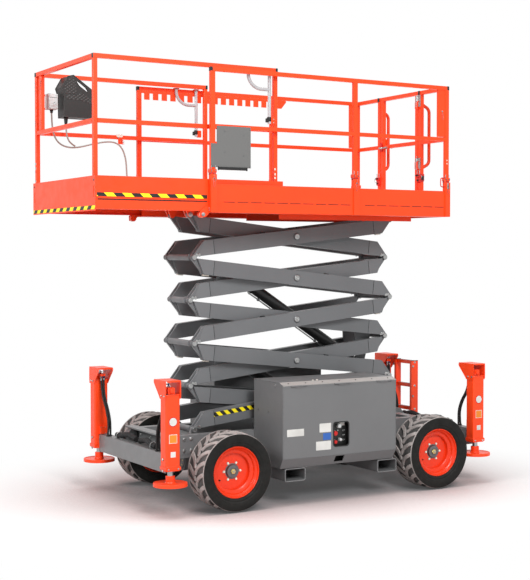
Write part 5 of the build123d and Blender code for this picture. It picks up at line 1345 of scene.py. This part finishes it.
def dress_gate():
    gate = Piece("gate_trim", "gate", "orange", "cap", "zinc", "steel", "red_paint", slot="orange_paint")
    a, b = GATE_Y[0] + 0.027, GATE_Y[1] - 0.027
    gate.add(block(0.0325, 0.003, 0.0335, 0.001), "cap", (GATE_X + 0.017, a - 0.0004, RAIL_Z))
    gate.add(block(0.0325, 0.003, 0.0335, 0.001), "cap", (GATE_X + 0.017, b + 0.0004, RAIL_Z))
    for z in HINGE_Z:
        hinge_leaf(gate, z, 0.292, 0.023, 0.29, (0.0038, 0.0041, 0.0036))
    # keeper on the stile's inner face with its pin
    gate.add(block(0.02, 0.03, 0.084, 0.004), "red_paint", (HINGE_X + 0.008, -0.262, 3.165))
    gate.add(lathe([(0, 0), (0.01, 0), (0.0106, 0.001), (0.0106, 0.04), (0.007, 0.042), (0.007, 0.09),
                    (0.0106, 0.092), (0.0106, 0.126), (0.0095, 0.128), (0, 0.128)], 18), "zinc",
             (HINGE_X + 0.012, -0.286, 3.154), OUT)
    # latch: disc, sliding bolt and guide
    gate.add(lathe([(0, 0), (0.034, 0), (0.035, 0.001), (0.035, 0.004), (0.032, 0.0055), (0.012, 0.0062),
                    (0.0105, 0.01), (0, 0.0105)], 40), "orange", (GATE_X - 0.0003, -0.26, 3.212), AFT)
    gate.add(stud(0.0065, 0.0068, 0.001, 0.16, 0.0058, 0.1615, 18), "zinc", (GATE_X - 0.0095, a + 0.0015, 3.16), OUT)
    for y in (a + 0.03, a + 0.125):
        gate.add(block(0.018, 0.012, 0.024, 0.002), "steel", (GATE_X - 0.0085, y, 3.16))
    gate.add(lathe([(0, 0), (0.004, 0), (0.004, 0.02), (0.009, 0.024), (0.0095, 0.03), (0.007, 0.034), (0, 0.0345)],
                   16), "cap", (GATE_X - 0.0095, a + 0.085, 3.16), AFT)
    for z in (MID_RAIL_Z, RAIL_Z):
        for y in (a + 0.0435, b - 0.0435):
            gate.add(hose([(GATE_X - 0.0004, y, z - 0.016), (GATE_X - 0.0004, y, z + 0.016)], 0.0018, 6, 2), "orange")
    gate.add(block(0.0022, 0.54, 0.003, 0.0008), "orange", (GATE_X - 0.0006, (a + b) / 2, 2.695))
    gate.make()


dress_platform()
dress_gate()


# ================================================================ roll-out deck
EXT_UNDER, POST_FOOT_Z = EXT_TOP_Z - TUBE, 2.562
EXT_OUT, EXT_IN = EXT_RAIL_Y, EXT_RAIL_Y - TUBE          # the rails' outer and inner faces
EXT_MID = (EXT_IN + EXT_OUT) / 2
EXT_FACE = EXT_FRONT - 0.004                             # the front posts' front


def dress_extension_posts():
    """The four posts and the outlet's bracket."""
    posts = Piece("extension_post_tubes", "extension", "orange", "red_paint", slot="orange_paint")
    for s in (1, -1):
        for x in (EXT_FACE - 0.0175, 0.5475):
            posts.add(block(TUBE, TUBE, EXT_UNDER - POST_FOOT_Z, 0.0025), "orange",
                      (x, s * EXT_MID, (EXT_UNDER + POST_FOOT_Z) / 2))
    for z in (3.372 + 0.008, 3.505 - 0.008):
        posts.add(block(0.062, 0.004, 0.016, 0.0012), "red_paint", (2.14, -0.615, z))
    posts.add(block(0.08, 0.0036, 0.13, 0.0012), "red_paint", (2.082, -0.6188, 3.4385))
    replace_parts(posts.make(30), "extension_posts")


def dress_outlet():
    """The outlet box's lid, socket and gland."""
    ox0, ox1, oz0, oz1 = 2.039, 2.125, 3.372, 3.505
    oy = -0.617 + 0.086
    outlet = Piece("outlet_face", "extension", "grey_plastic", "cap", "zinc", "dark_plastic", slot="grey_plastic")
    mx, mz = (ox0 + ox1) / 2, (oz0 + oz1) / 2
    outlet.add(side_plate(shifted(rounded(0.078, 0.124, 0.008, 4), mx, mz), oy - 0.0005, oy + 0.006, 0.0015),
               "grey_plastic")
    outlet.add(block(0.04, 0.005, 0.034, 0.002), "grey_plastic", (mx - 0.006, oy + 0.0075, mz - 0.02))
    for a in (PI / 2, PI * 7 / 6, PI * 11 / 6):
        outlet.add(rod(0.003, 0.003, 0.0006, 10), "dark_plastic",
                   (mx - 0.006 + 0.0085 * math.cos(a), oy + 0.0092, mz - 0.02 + 0.0085 * math.sin(a)), OUT)
    outlet.add(block(0.07, 0.003, 0.003, 0.001), "dark_plastic", (mx, oy + 0.0062, mz + 0.034))
    for dx in (-0.032, 0.032):
        for dz in (-0.055, 0.055):
            outlet.add(lathe([(0, 0), (0.0036, 0), (0.0038, 0.0006), (0.0034, 0.0018), (0, 0.002)], 12), "zinc",
                       (mx + dx, oy + 0.006, mz + dz), OUT)
    outlet.add(lathe([(0.0, 0.0), (0.015, 0.0), (0.0155, 0.001), (0.0155, 0.009), (0.013, 0.011), (0.0118, 0.026),
                      (0.0078, 0.03), (0.0078, 0.03), (0.0, 0.03)], 24), "cap", (mx, -0.574, oz0), DOWN)
    outlet.make()


def dress_latch_handles():
    """Each bent tube with its foot collar, plate, screws and pads under the rail."""
    for s in (1, -1):
        lever = Piece(f"latch_handle_{'left' if s > 0 else 'right'}", "extension", "aluminium", "cap", "orange",
                      "zinc", "red_paint", slot="aluminium")
        lx, ly = 0.622, 0.5 * (0.652 + 0.697) - 0.004

        def at(x, y, z):
            return (x, s * y, z)

        lever.add(hose([at(lx, ly, EXT_UNDER - 0.44), at(lx, ly, EXT_UNDER - 0.001)], 0.0142, 20, 1), "aluminium")
        quarter = [PI / 2 * k / 8 for k in range(9)]
        bend = [at(lx + 0.08 + 0.126 * math.cos(a), ly, EXT_UNDER - 0.026 - 0.126 * math.sin(a)) for a in quarter]
        lever.add(hose([at(lx + 0.206, ly, EXT_UNDER - 0.001)] + bend + [at(lx + 0.006, ly, EXT_UNDER - 0.152)],
                       0.0142, 20, 1), "aluminium")
        lever.add(lathe([(0.0122, 0), (0.017, 0), (0.0178, 0.002), (0.0178, 0.034), (0.016, 0.037), (0.0122, 0.037)],
                        24), "cap", at(lx + 0.004, ly, EXT_UNDER - 0.418))
        lever.add(block(0.024, 0.02, 0.034, 0.003), "cap", at(lx + 0.023, ly, EXT_UNDER - 0.41))
        lever.add(block(0.038, 0.028, 0.064, 0.003), "orange", at(lx - 0.03, ly + 0.001, EXT_UNDER - 0.413))
        for dz in (-0.016, 0.012):
            lever.add(stud(0.0052, 0.0056, 0.001, 0.006, 0.004, 0.0075, 14), "zinc",
                      at(lx - 0.03, ly + 0.015, EXT_UNDER - 0.413 + dz), (0, s, 0))
        for x in (lx, lx + 0.206):
            lever.add(block(0.05, 0.034, 0.007, 0.002), "red_paint", at(x, ly, EXT_UNDER - 0.005))
        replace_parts(lever.make(30), "latch_handles")


def dress_extension():
    trim = Piece("extension_trim", "extension", "orange", "cap", "zinc", "steel", "hazard_side", "hazard_front",
                 "red_paint", "pad", "seam", slot="orange_paint")
    both = trim.both

    # hazard tape low on the side plates and along the front plate
    both(side_plate(rect(1.225, 2.196, 2.572, 2.602), EXT_Y - 0.0001, EXT_Y + 0.0008), "hazard_side")
    trim.add(end_plate(rect(-0.684, 0.684, 2.47, 2.5), EXT_FRONT - 0.0001, EXT_FRONT + 0.0008), "hazard_front")
    # folds and screws of the plates
    both(hose([(0.502, EXT_Y - 0.0012, 2.732), (EXT_FRONT - 0.006, EXT_Y - 0.0012, 2.732)], 0.0024, 8, 1), "orange")
    trim.add(hose([(EXT_FRONT - 0.0012, -EXT_Y + 0.002, 2.732), (EXT_FRONT - 0.0012, EXT_Y - 0.002, 2.732)], 0.0024,
                  8, 1), "orange")
    for s in (1, -1):
        trim.add(stud(0.0085, 0.009, 0.0008, 0.003, 0.0065, 0.0042, 14), "steel", (EXT_FRONT, s * 0.662, 2.7), FORE)
    # painted shadow in the seam groove under the hazard tape
    both(side_plate(rect(1.225, 2.19, 2.545, 2.555), EXT_Y - 0.0001, EXT_Y + 0.0006), "seam")
    # rail ends, post feet, screws and welds
    for s in (1, -1):
        dress_rail_ends(trim, 0.53, -1, s * EXT_MID, EXT_TOP_Z - TUBE / 2, TUBE, TUBE)
        dress_rail_ends(trim, EXT_FACE, 1, s * EXT_MID, EXT_TOP_Z - TUBE / 2, 0.033, 0.033)
        if s < 0:
            for z, look in ((2.9, "zinc"), (2.862, "zinc"), (2.832, "red_paint"), (2.752, "zinc")):
                trim.add(block(0.004, 0.02, 0.02, 0.002), look, (EXT_FACE + 0.0008, s * EXT_MID, z))
        for x in (EXT_FACE - 0.0175, 0.5475):
            trim.add(hose([(x - 0.0175, s * (EXT_OUT - 0.0004), EXT_UNDER),
                           (x + 0.0175, s * (EXT_OUT - 0.0004), EXT_UNDER)], 0.002, 6, 2), "orange")
        trim.add(hose([(EXT_FACE - 0.0004, s * EXT_IN, MID_RAIL_Z - 0.013),
                       (EXT_FACE - 0.0004, s * EXT_IN, MID_RAIL_Z + 0.018)], 0.002, 6, 2), "orange")
        for z in (2.763, 2.795, 2.838):
            trim.add(block(0.013, 0.004, 0.018, 0.002), "pad", (0.556, s * (EXT_OUT + 0.0012), z))
        for z in (2.625, 2.655):
            trim.add(stud(0.0062, 0.0066, 0.0008, 0.004, 0.0045, 0.0056), "zinc", (0.5475, s * (EXT_OUT + 0.008), z),
                     (0, s, 0))
        # front post's foot: a socket plate with its bolts
        trim.add(block(0.06, 0.004, 0.09, 0.0015), "orange", (EXT_FACE - 0.0235, s * (EXT_OUT + 0.0022), 2.609))
        for dz in (-0.022, 0.022):
            trim.add(stud(0.0062, 0.0066, 0.0008, 0.0045, 0.005, 0.006), "zinc",
                     (EXT_FACE - 0.0235, s * (EXT_OUT + 0.0042), 2.609 + dz), (0, s, 0))
    # doubled upright beside the far post, which carries the outlet and the control box
    trim.add(block(0.033, 0.056, EXT_UNDER - MID_RAIL_Z - 0.022, 0.003), "orange",
             (EXT_FACE - 0.0178, -0.528, (EXT_UNDER + MID_RAIL_Z + 0.02) / 2))
    for z in (3.598, 3.58, 3.562, 3.528, 3.268, 3.25, 3.232, 3.205):
        for y in (-0.501, -0.65):
            trim.add(stud(0.0045, 0.0048, 0.0006, 0.003, 0.0032, 0.004, 10), "steel",
                     (EXT_FACE, y + (0.0165 if y < -0.6 else 0), z), FORE)
    # clip bracket on the far mid rail that carries the cable
    trim.add(block(0.046, 0.004, 0.074, 0.0015), "orange", (1.415, -(EXT_IN - 0.0022), MID_RAIL_Z - 0.022))
    trim.add(block(0.046, 0.04, 0.004, 0.0012), "orange", (1.415, -(EXT_IN - 0.021), MID_RAIL_Z - 0.059))
    trim.add(block(0.06, 0.008, 0.026, 0.003), "pad", (1.423, -(EXT_IN - 0.004), MID_RAIL_Z + 0.014))
    hook = ((0.004, 3.128), (0.03, 3.118), (0.052, 3.12), (0.052, 3.134), (0.03, 3.136), (0.004, 3.15))
    trim.add(hose([(1.404, -(EXT_IN - inward), z) for inward, z in hook], 0.0028, 8, 4), "zinc")
    trim.add(stud(0.0062, 0.0066, 0.0008, 0.004, 0.0045, 0.0056), "zinc",
             (1.436, -(EXT_IN - 0.0042), MID_RAIL_Z - 0.004), OUT)
    # where the cable goes through the floor
    trim.add(lathe([(0.0072, 0), (0.022, 0), (0.0225, 0.0015), (0.018, 0.008), (0.012, 0.014), (0.0085, 0.015),
                    (0.0072, 0.014)], 24), "cap", (1.369, -0.582, 2.5621))
    dress_extension_posts()
    dress_outlet()
    dress_latch_handles()
    trim.make()


dress_extension()


# ================================================================ operator's control box
def dress_control():
    rear, top = 1.727, 3.669
    nose, low = rear + 0.278, top - 0.362
    y_in, y_out = -0.617 + 0.0003, -0.617 + 0.15
    slope = (top - low) * 0.365
    box = Piece("control_box_shell", "extension", "plastic", "panel", "red", "zinc", "dark_plastic", "cap",
                slot="black_plastic")
    face = y_out
    rim = [(rear, low), (nose, low), (nose, low + 0.175), (nose + 0.025, low + 0.25), (nose - 0.032, top - 0.014),
           (nose - 0.085, top), (rear, top - slope)]
    behind = rim[:6] + [(nose - 0.1, top - 0.014), (nose - 0.104, top - 0.13), (rear, top - 0.235)]
    box.add(side_plate(behind, y_in, face - 0.02, 0.004), "plastic")
    # the near cheek, with the slanted grip slot through it
    gx, gz = nose - 0.12, top - 0.066
    hole = [(gx - 0.019, gz - 0.026), (gx + 0.006, gz + 0.01), (gx - 0.004, gz + 0.019), (gx - 0.078, gz - 0.033),
            (gx - 0.1, gz - 0.063), (gx - 0.091, gz - 0.075)]
    turned = hole[4::-1] + hole[:4:-1]
    bridge = rim + [rim[0]] + turned + [turned[0]]
    count = len(bridge)
    loop = [(x, y, z) for y in (face - 0.02, face) for x, z in bridge]
    box.add((loop, [list(range(count)), [2 * count - 1 - k for k in range(count)]]), "plastic")
    for ring in (rim, hole):
        m = len(ring)
        wall = [(x, y, z) for y in (face - 0.02, face) for x, z in ring]
        box.add((wall, [[k, m + k, m + (k + 1) % m, (k + 1) % m] for k in range(m)]), "plastic")
    # moulded diamond panels
    low_panel = [(rear + 0.018, low + 0.118), (nose - 0.145, low + 0.15), (nose - 0.016, low + 0.15),
                 (nose - 0.016, low + 0.19), (nose - 0.12, low + 0.19), (nose - 0.15, low + 0.215),
                 (rear + 0.018, low + 0.165)]
    box.add(side_plate(low_panel, face - 0.0002, face + 0.002, 0.0008), "panel")
    high_panel = [(nose - 0.118, low + 0.2), (nose - 0.014, low + 0.2), (nose + 0.004, low + 0.25),
                  (nose - 0.04, top - 0.034), (nose - 0.086, top - 0.022), (nose - 0.1, top - 0.036)]
    box.add(side_plate(high_panel, face - 0.0002, face + 0.002, 0.0008), "panel")
    for y in (face - 0.002, y_in + 0.004):
        outline = rim if y > -0.5 else behind
        box.add(hose([(x, y, z) for x, z in outline], 0.0042, 8, 1, True), "plastic")
    box.add(hose([(x, face + 0.0004, z) for x, z in hole], 0.003, 8, 1, True), "plastic")
    # joystick's rubber boot, red stop button, toggle switches and a knob on the sloped top
    ridge = Vector((nose - 0.104, 0, top - 0.13))
    back = Vector((rear, 0, top - 0.235))
    run = (back - ridge)
    up = Vector((-run.z, 0, run.x)).normalized()
    if up.z < 0:
        up = -up
    yc = (y_in + y_out) / 2
    heads = {
        "stick": ("cap", 28, [(0, -0.004), (0.03, -0.004), (0.03, 0.002), (0.024, 0.007), (0.0225, 0.01),
                              (0.019, 0.013), (0.0175, 0.017), (0.013, 0.02), (0, 0.021)]),
        "stop": ("red", 28, [(0, 0), (0.016, 0), (0.016, 0.003), (0.01, 0.004), (0.01, 0.012), (0.019, 0.015),
                             (0.0195, 0.019), (0.015, 0.024), (0, 0.026)]),
        "toggle": ("zinc", 14, [(0, 0), (0.0075, 0), (0.008, 0.001), (0.008, 0.0035), (0.0035, 0.0045),
                                (0.003, 0.014), (0.0042, 0.019), (0.003, 0.022), (0, 0.0225)]),
        "knob": ("dark_plastic", 24, [(0, 0), (0.014, 0), (0.0145, 0.001), (0.0135, 0.012), (0.011, 0.014),
                                      (0, 0.0145)]),
    }
    for f, y, kind in ((0.26, yc - 0.02, "stick"), (0.72, yc - 0.006, "stop"), (0.56, yc - 0.045, "toggle"),
                       (0.88, yc - 0.045, "toggle"), (0.9, yc + 0.01, "knob")):
        p = ridge + run * f
        look, sides, profile = heads[kind]
        box.add(lathe(profile, sides), look, (p.x, y, p.z), axes(tuple(up)))
    # strain relief under the box
    box.add(lathe([(0.0072, 0.0), (0.019, 0.0), (0.02, 0.0015), (0.02, 0.01), (0.0175, 0.0125), (0.016, 0.03),
                   (0.012, 0.062), (0.0085, 0.07), (0.0072, 0.07)], 24), "cap", (1.965, -0.535, low), DOWN)
    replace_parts(box.make(30), "control_box")


dress_control()


# ================================================================ roller brackets, tracks and cylinders
def dress_rollers():
    trim = Piece("roller_trim", "platform", "zinc", "pad", "orange", slot="orange_paint")
    x, z = DECK_FRONT + 0.062, 2.472 - 0.028 - 0.0003
    for s in (1, -1):
        bolt(trim, (x, s * (EXT_Y + 0.006 + 0.014), z), (0, s, 0), 0.02, "zinc")
        trim.add(lathe([(0.0, 0.0), (0.0255, 0.0), (0.0255, 0.0025), (0.0, 0.0025)], 32), "pad",
                 (x, s * (EXT_Y - 0.002), z), (0, s, 0))
    trim.make()


dress_rollers()


def dress_rack():
    """The slotted strip under the far rail."""
    y0 = -(DECK_Y - 0.004 - 0.028)
    under = RAIL_TOP_Z - TUBE
    top, foot = under - 0.001, under - 0.082
    x0, x1, pitch, slot_w, slot_h = -0.372, 1.207, 0.0885, 0.034, 0.058
    rack = Piece("slotted_rail", "platform", "orange", slot="orange_paint")
    rack.add(block(x1 - x0, 0.006, top - foot - slot_h, 0.001), "orange",
             ((x0 + x1) / 2, y0 + 0.003, (top + foot + slot_h) / 2))
    edge = x1 - 0.03
    right = x1
    while edge - slot_w > x0 + 0.034:
        rack.add(block(right - edge, 0.006, slot_h + 0.002, 0.001), "orange",
                 ((right + edge) / 2, y0 + 0.003, foot + slot_h / 2 + 0.001))
        right, edge = edge - slot_w, edge - pitch
    tip = [(min(x0 + 0.052, right - 0.006), foot), (right, foot), (right, foot + slot_h + 0.001),
           (x0 + 0.002, foot + slot_h + 0.001)]
    rack.add(side_plate(tip, y0, y0 + 0.006, 0.001), "orange")
    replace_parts(rack.make(30), "rail_rack")


dress_rack()


def eye_ring(bore):
    """The turned boss round a cylinder's eye."""
    return lathe([(bore, 0), (0.04, 0), (0.041, 0.001), (0.04, 0.003), (bore, 0.003)], 32)


def dress_cylinders():
    tail, eye = Vector((-0.7, 0, 1.109)), Vector((0.65, 0, 1.98))
    way = (eye - tail).normalized()
    turn = Matrix((Vector((0, 1, 0)), way.cross(Vector((0, 1, 0))), way)).transposed().to_4x4()
    for name, drop in (("lower", 2 * LEVEL_H), ("upper", 0.0)):
        base = tail - Vector((0, 0, drop))
        barrel = Piece(f"{name}_barrel_trim", f"{name}_cylinder_barrel", "black_paint", "zinc", "steel",
                       slot="cylinder_black")

        def put(solid, look, along, extra=(0, 0, 0), spin=None):
            barrel.add(solid, look, tuple(base + way * along), turn @ shift(extra) @ (spin or Matrix()))

        put(lathe([(0.05, 0), (0.0555, 0), (0.056, 0.001), (0.056, 0.014), (0.0545, 0.016), (0.05, 0.016)], 48),
            "black_paint", 0.06)
        put(lathe([(0.05, 0), (0.053, 0), (0.0535, 0.001), (0.052, 0.005), (0.05, 0.006)], 48), "black_paint", 1.293)
        put(lathe([(0.056, 0), (0.059, 0), (0.0595, 0.001), (0.0595, 0.02), (0.0585, 0.022), (0.056, 0.022)], 8),
            "black_paint", 1.318)
        put(lathe([(0.0303, 0), (0.05, 0), (0.0505, 0.001), (0.044, 0.0045), (0.034, 0.006), (0.0303, 0.006)], 48),
            "steel", 1.3602)
        # valve block and rigid line along the barrel
        put(block(0.06, 0.052, 0.11, 0.003), "steel", 0.18, (0, -0.07, 0))
        for dz in (-0.03, 0.03):
            put(stud(0.0125, 0.013, 0.001, 0.014, 0.01, 0.016), "zinc", 0.18 + dz, (0, -0.096, 0),
                Matrix.Rotation(PI / 2, 4, "X"))
        line = [(0, -0.074, 0.055), (0, -0.07, 0.12), (0, -0.064, 0.3), (0, -0.063, 0.7), (0, -0.063, 1.08),
                (0, -0.066, 1.13), (0, -0.058, 1.152)]
        put(hose(line, 0.0062, 10, 6), "zinc", 0.18)
        for z in (0.3, 0.7, 1.02):
            put(block(0.024, 0.026, 0.016, 0.002), "steel", 0.18 + z, (0, -0.06, 0))
        for s in (1, -1):
            pin = base + Vector((0, s * 0.0401, 0))
            barrel.add(eye_ring(0.0222), "steel", tuple(pin), (0, s, 0))
        barrel.make()
        head = Piece(f"{name}_rod_trim", f"{name}_cylinder_rod", "black_paint", "steel", slot="cylinder_black")
        length = (eye - tail).length
        tip = base + way * length
        head.add(lathe([(0.0302, 0), (0.037, 0), (0.04, 0.004), (0.04, 0.03), (0.0302, 0.034)], 40), "black_paint",
                 tuple(base + way * (length - 0.06)), turn)
        for s in (1, -1):
            head.add(eye_ring(0.0225), "steel", tuple(tip + Vector((0, s * 0.0401, 0))), (0, s, 0))
        head.make()


dress_cylinders()


# ================================================================ studio
FLOOR_HALF, FLOOR_GLOW, AMBIENT = 60.0, 0.06, 0.5
SHADE_REACH, WHITE_FROM, WHITE_BY = 1.3, 1.7, 3.6     # metres
AIM = Vector((0, 0, 1.6))


def node_maker(tree):
    """An emptied node tree's own maker of nodes."""
    tree.nodes.clear()

    def node(kind, **values):
        made = tree.nodes.new("ShaderNode" + kind)
        for key, value in values.items():
            setattr(made, key, value)
        return made

    return node


def floor_material():
    """A pale floor with painted shadow under the object, tinted pink there as painted bounce light from the orange
    paint, that fades to white far from it.
    """
    mat = bpy.data.materials.new("studio_floor")
    mat.use_nodes = True
    node, link = node_maker(mat.node_tree), mat.node_tree.links.new
    out, diffuse, glow, white = (node(kind) for kind in ("OutputMaterial", "BsdfDiffuse", "Emission", "Emission"))
    # painted shadow: ambient occlusion darkens the floor's colour near the object, with a pink middle stop as painted
    # orange bounce light
    near = node("AmbientOcclusion", samples=8)
    near.inputs["Distance"].default_value = SHADE_REACH
    tint = node("ValToRGB")
    stops = tint.color_ramp.elements
    stops[0].position, stops[0].color = 0.25, (0.16, 0.16, 0.165, 1.0)
    stops[1].position, stops[1].color = 0.98, (0.8, 0.772, 0.768, 1.0)
    stops.new(0.6).color = (0.47, 0.375, 0.37, 1.0)
    link(near.outputs["AO"], tint.inputs["Fac"])
    link(tint.outputs["Color"], diffuse.inputs["Color"])
    white.inputs["Strength"].default_value = 1.0
    paths, seen, lift = node("LightPath"), node("Math", operation="MAXIMUM"), node("Math", operation="MULTIPLY")
    link(paths.outputs["Is Camera Ray"], seen.inputs[0])
    link(paths.outputs["Is Glossy Ray"], seen.inputs[1])
    link(seen.outputs[0], lift.inputs[0])
    lift.inputs[1].default_value = FLOOR_GLOW
    link(lift.outputs[0], glow.inputs["Strength"])
    lit = node("AddShader")
    link(diffuse.outputs[0], lit.inputs[0])
    link(glow.outputs[0], lit.inputs[1])
    where, squash = node("NewGeometry"), node("VectorMath", operation="MULTIPLY")
    away, fade = node("VectorMath", operation="LENGTH"), node("MapRange", interpolation_type="SMOOTHSTEP")
    squash.inputs[1].default_value = (1.0, 1.25, 0.0)
    link(where.outputs["Position"], squash.inputs[0])
    link(squash.outputs[0], away.inputs[0])
    fade.inputs["From Min"].default_value, fade.inputs["From Max"].default_value = WHITE_FROM, WHITE_BY
    link(away.outputs["Value"], fade.inputs["Value"])
    far = node("Math", operation="MULTIPLY")
    link(fade.outputs["Result"], far.inputs[0])
    link(seen.outputs[0], far.inputs[1])
    blend = node("MixShader")
    for slot, source in enumerate((far, lit, white)):
        link(source.outputs[0], blend.inputs[slot])
    link(blend.outputs[0], out.inputs["Surface"])
    return mat


def white_world():
    """White to the camera, to reflections and through clear things; a softer white as light."""
    world = bpy.data.worlds.new("studio")
    world.use_nodes = True
    node, link = node_maker(world.node_tree), world.node_tree.links.new
    out, ambient, backdrop = node("OutputWorld"), node("Background"), node("Background")
    for made, strength in ((ambient, AMBIENT), (backdrop, 1.0)):
        made.inputs["Color"].default_value = (1.0, 1.0, 1.0, 1.0)
        made.inputs["Strength"].default_value = strength
    paths, seen, clear, mix = node("LightPath"), node("Math", operation="MAXIMUM"), node("Math",
            operation="MAXIMUM"), node("MixShader")
    link(paths.outputs["Is Camera Ray"], seen.inputs[0])
    link(paths.outputs["Is Glossy Ray"], clear.inputs[0])
    link(paths.outputs["Is Transmission Ray"], clear.inputs[1])
    link(clear.outputs[0], seen.inputs[1])
    for slot, source in enumerate((seen, ambient, backdrop)):
        link(source.outputs[0], mix.inputs[slot])
    link(mix.outputs[0], out.inputs["Surface"])
    return world


def studio():
    scene = bpy.context.scene
    scene.view_settings.view_transform = "Standard"
    mesh = bpy.data.meshes.new("studio_floor")
    s, z = FLOOR_HALF, -0.0005
    mesh.from_pydata([(-s, -s, z), (s, -s, z), (s, s, z), (-s, s, z)], [], [[0, 1, 2, 3]])
    floor = bpy.data.objects.new("studio_floor", mesh)
    scene.collection.objects.link(floor)
    mesh.materials.append(floor_material())
    scene.world = white_world()
    for name, place, size, power in (("key", (1.5, 9.5, 7.5), 4.0, 900.0), ("front", (9.5, 2.0, 6.0), 3.5, 520.0),
                                     ("top", (0.5, 1.0, 9.5), 4.0, 260.0)):
        lamp = bpy.data.lights.new(name, "AREA")
        lamp.energy, lamp.size, lamp.shape = power, size, "DISK"
        obj = bpy.data.objects.new(name, lamp)
        scene.collection.objects.link(obj)
        obj.location = place
        obj.rotation_mode = "QUATERNION"
        obj.rotation_quaternion = (AIM - Vector(place)).to_track_quat("-Z", "Y")


studio()
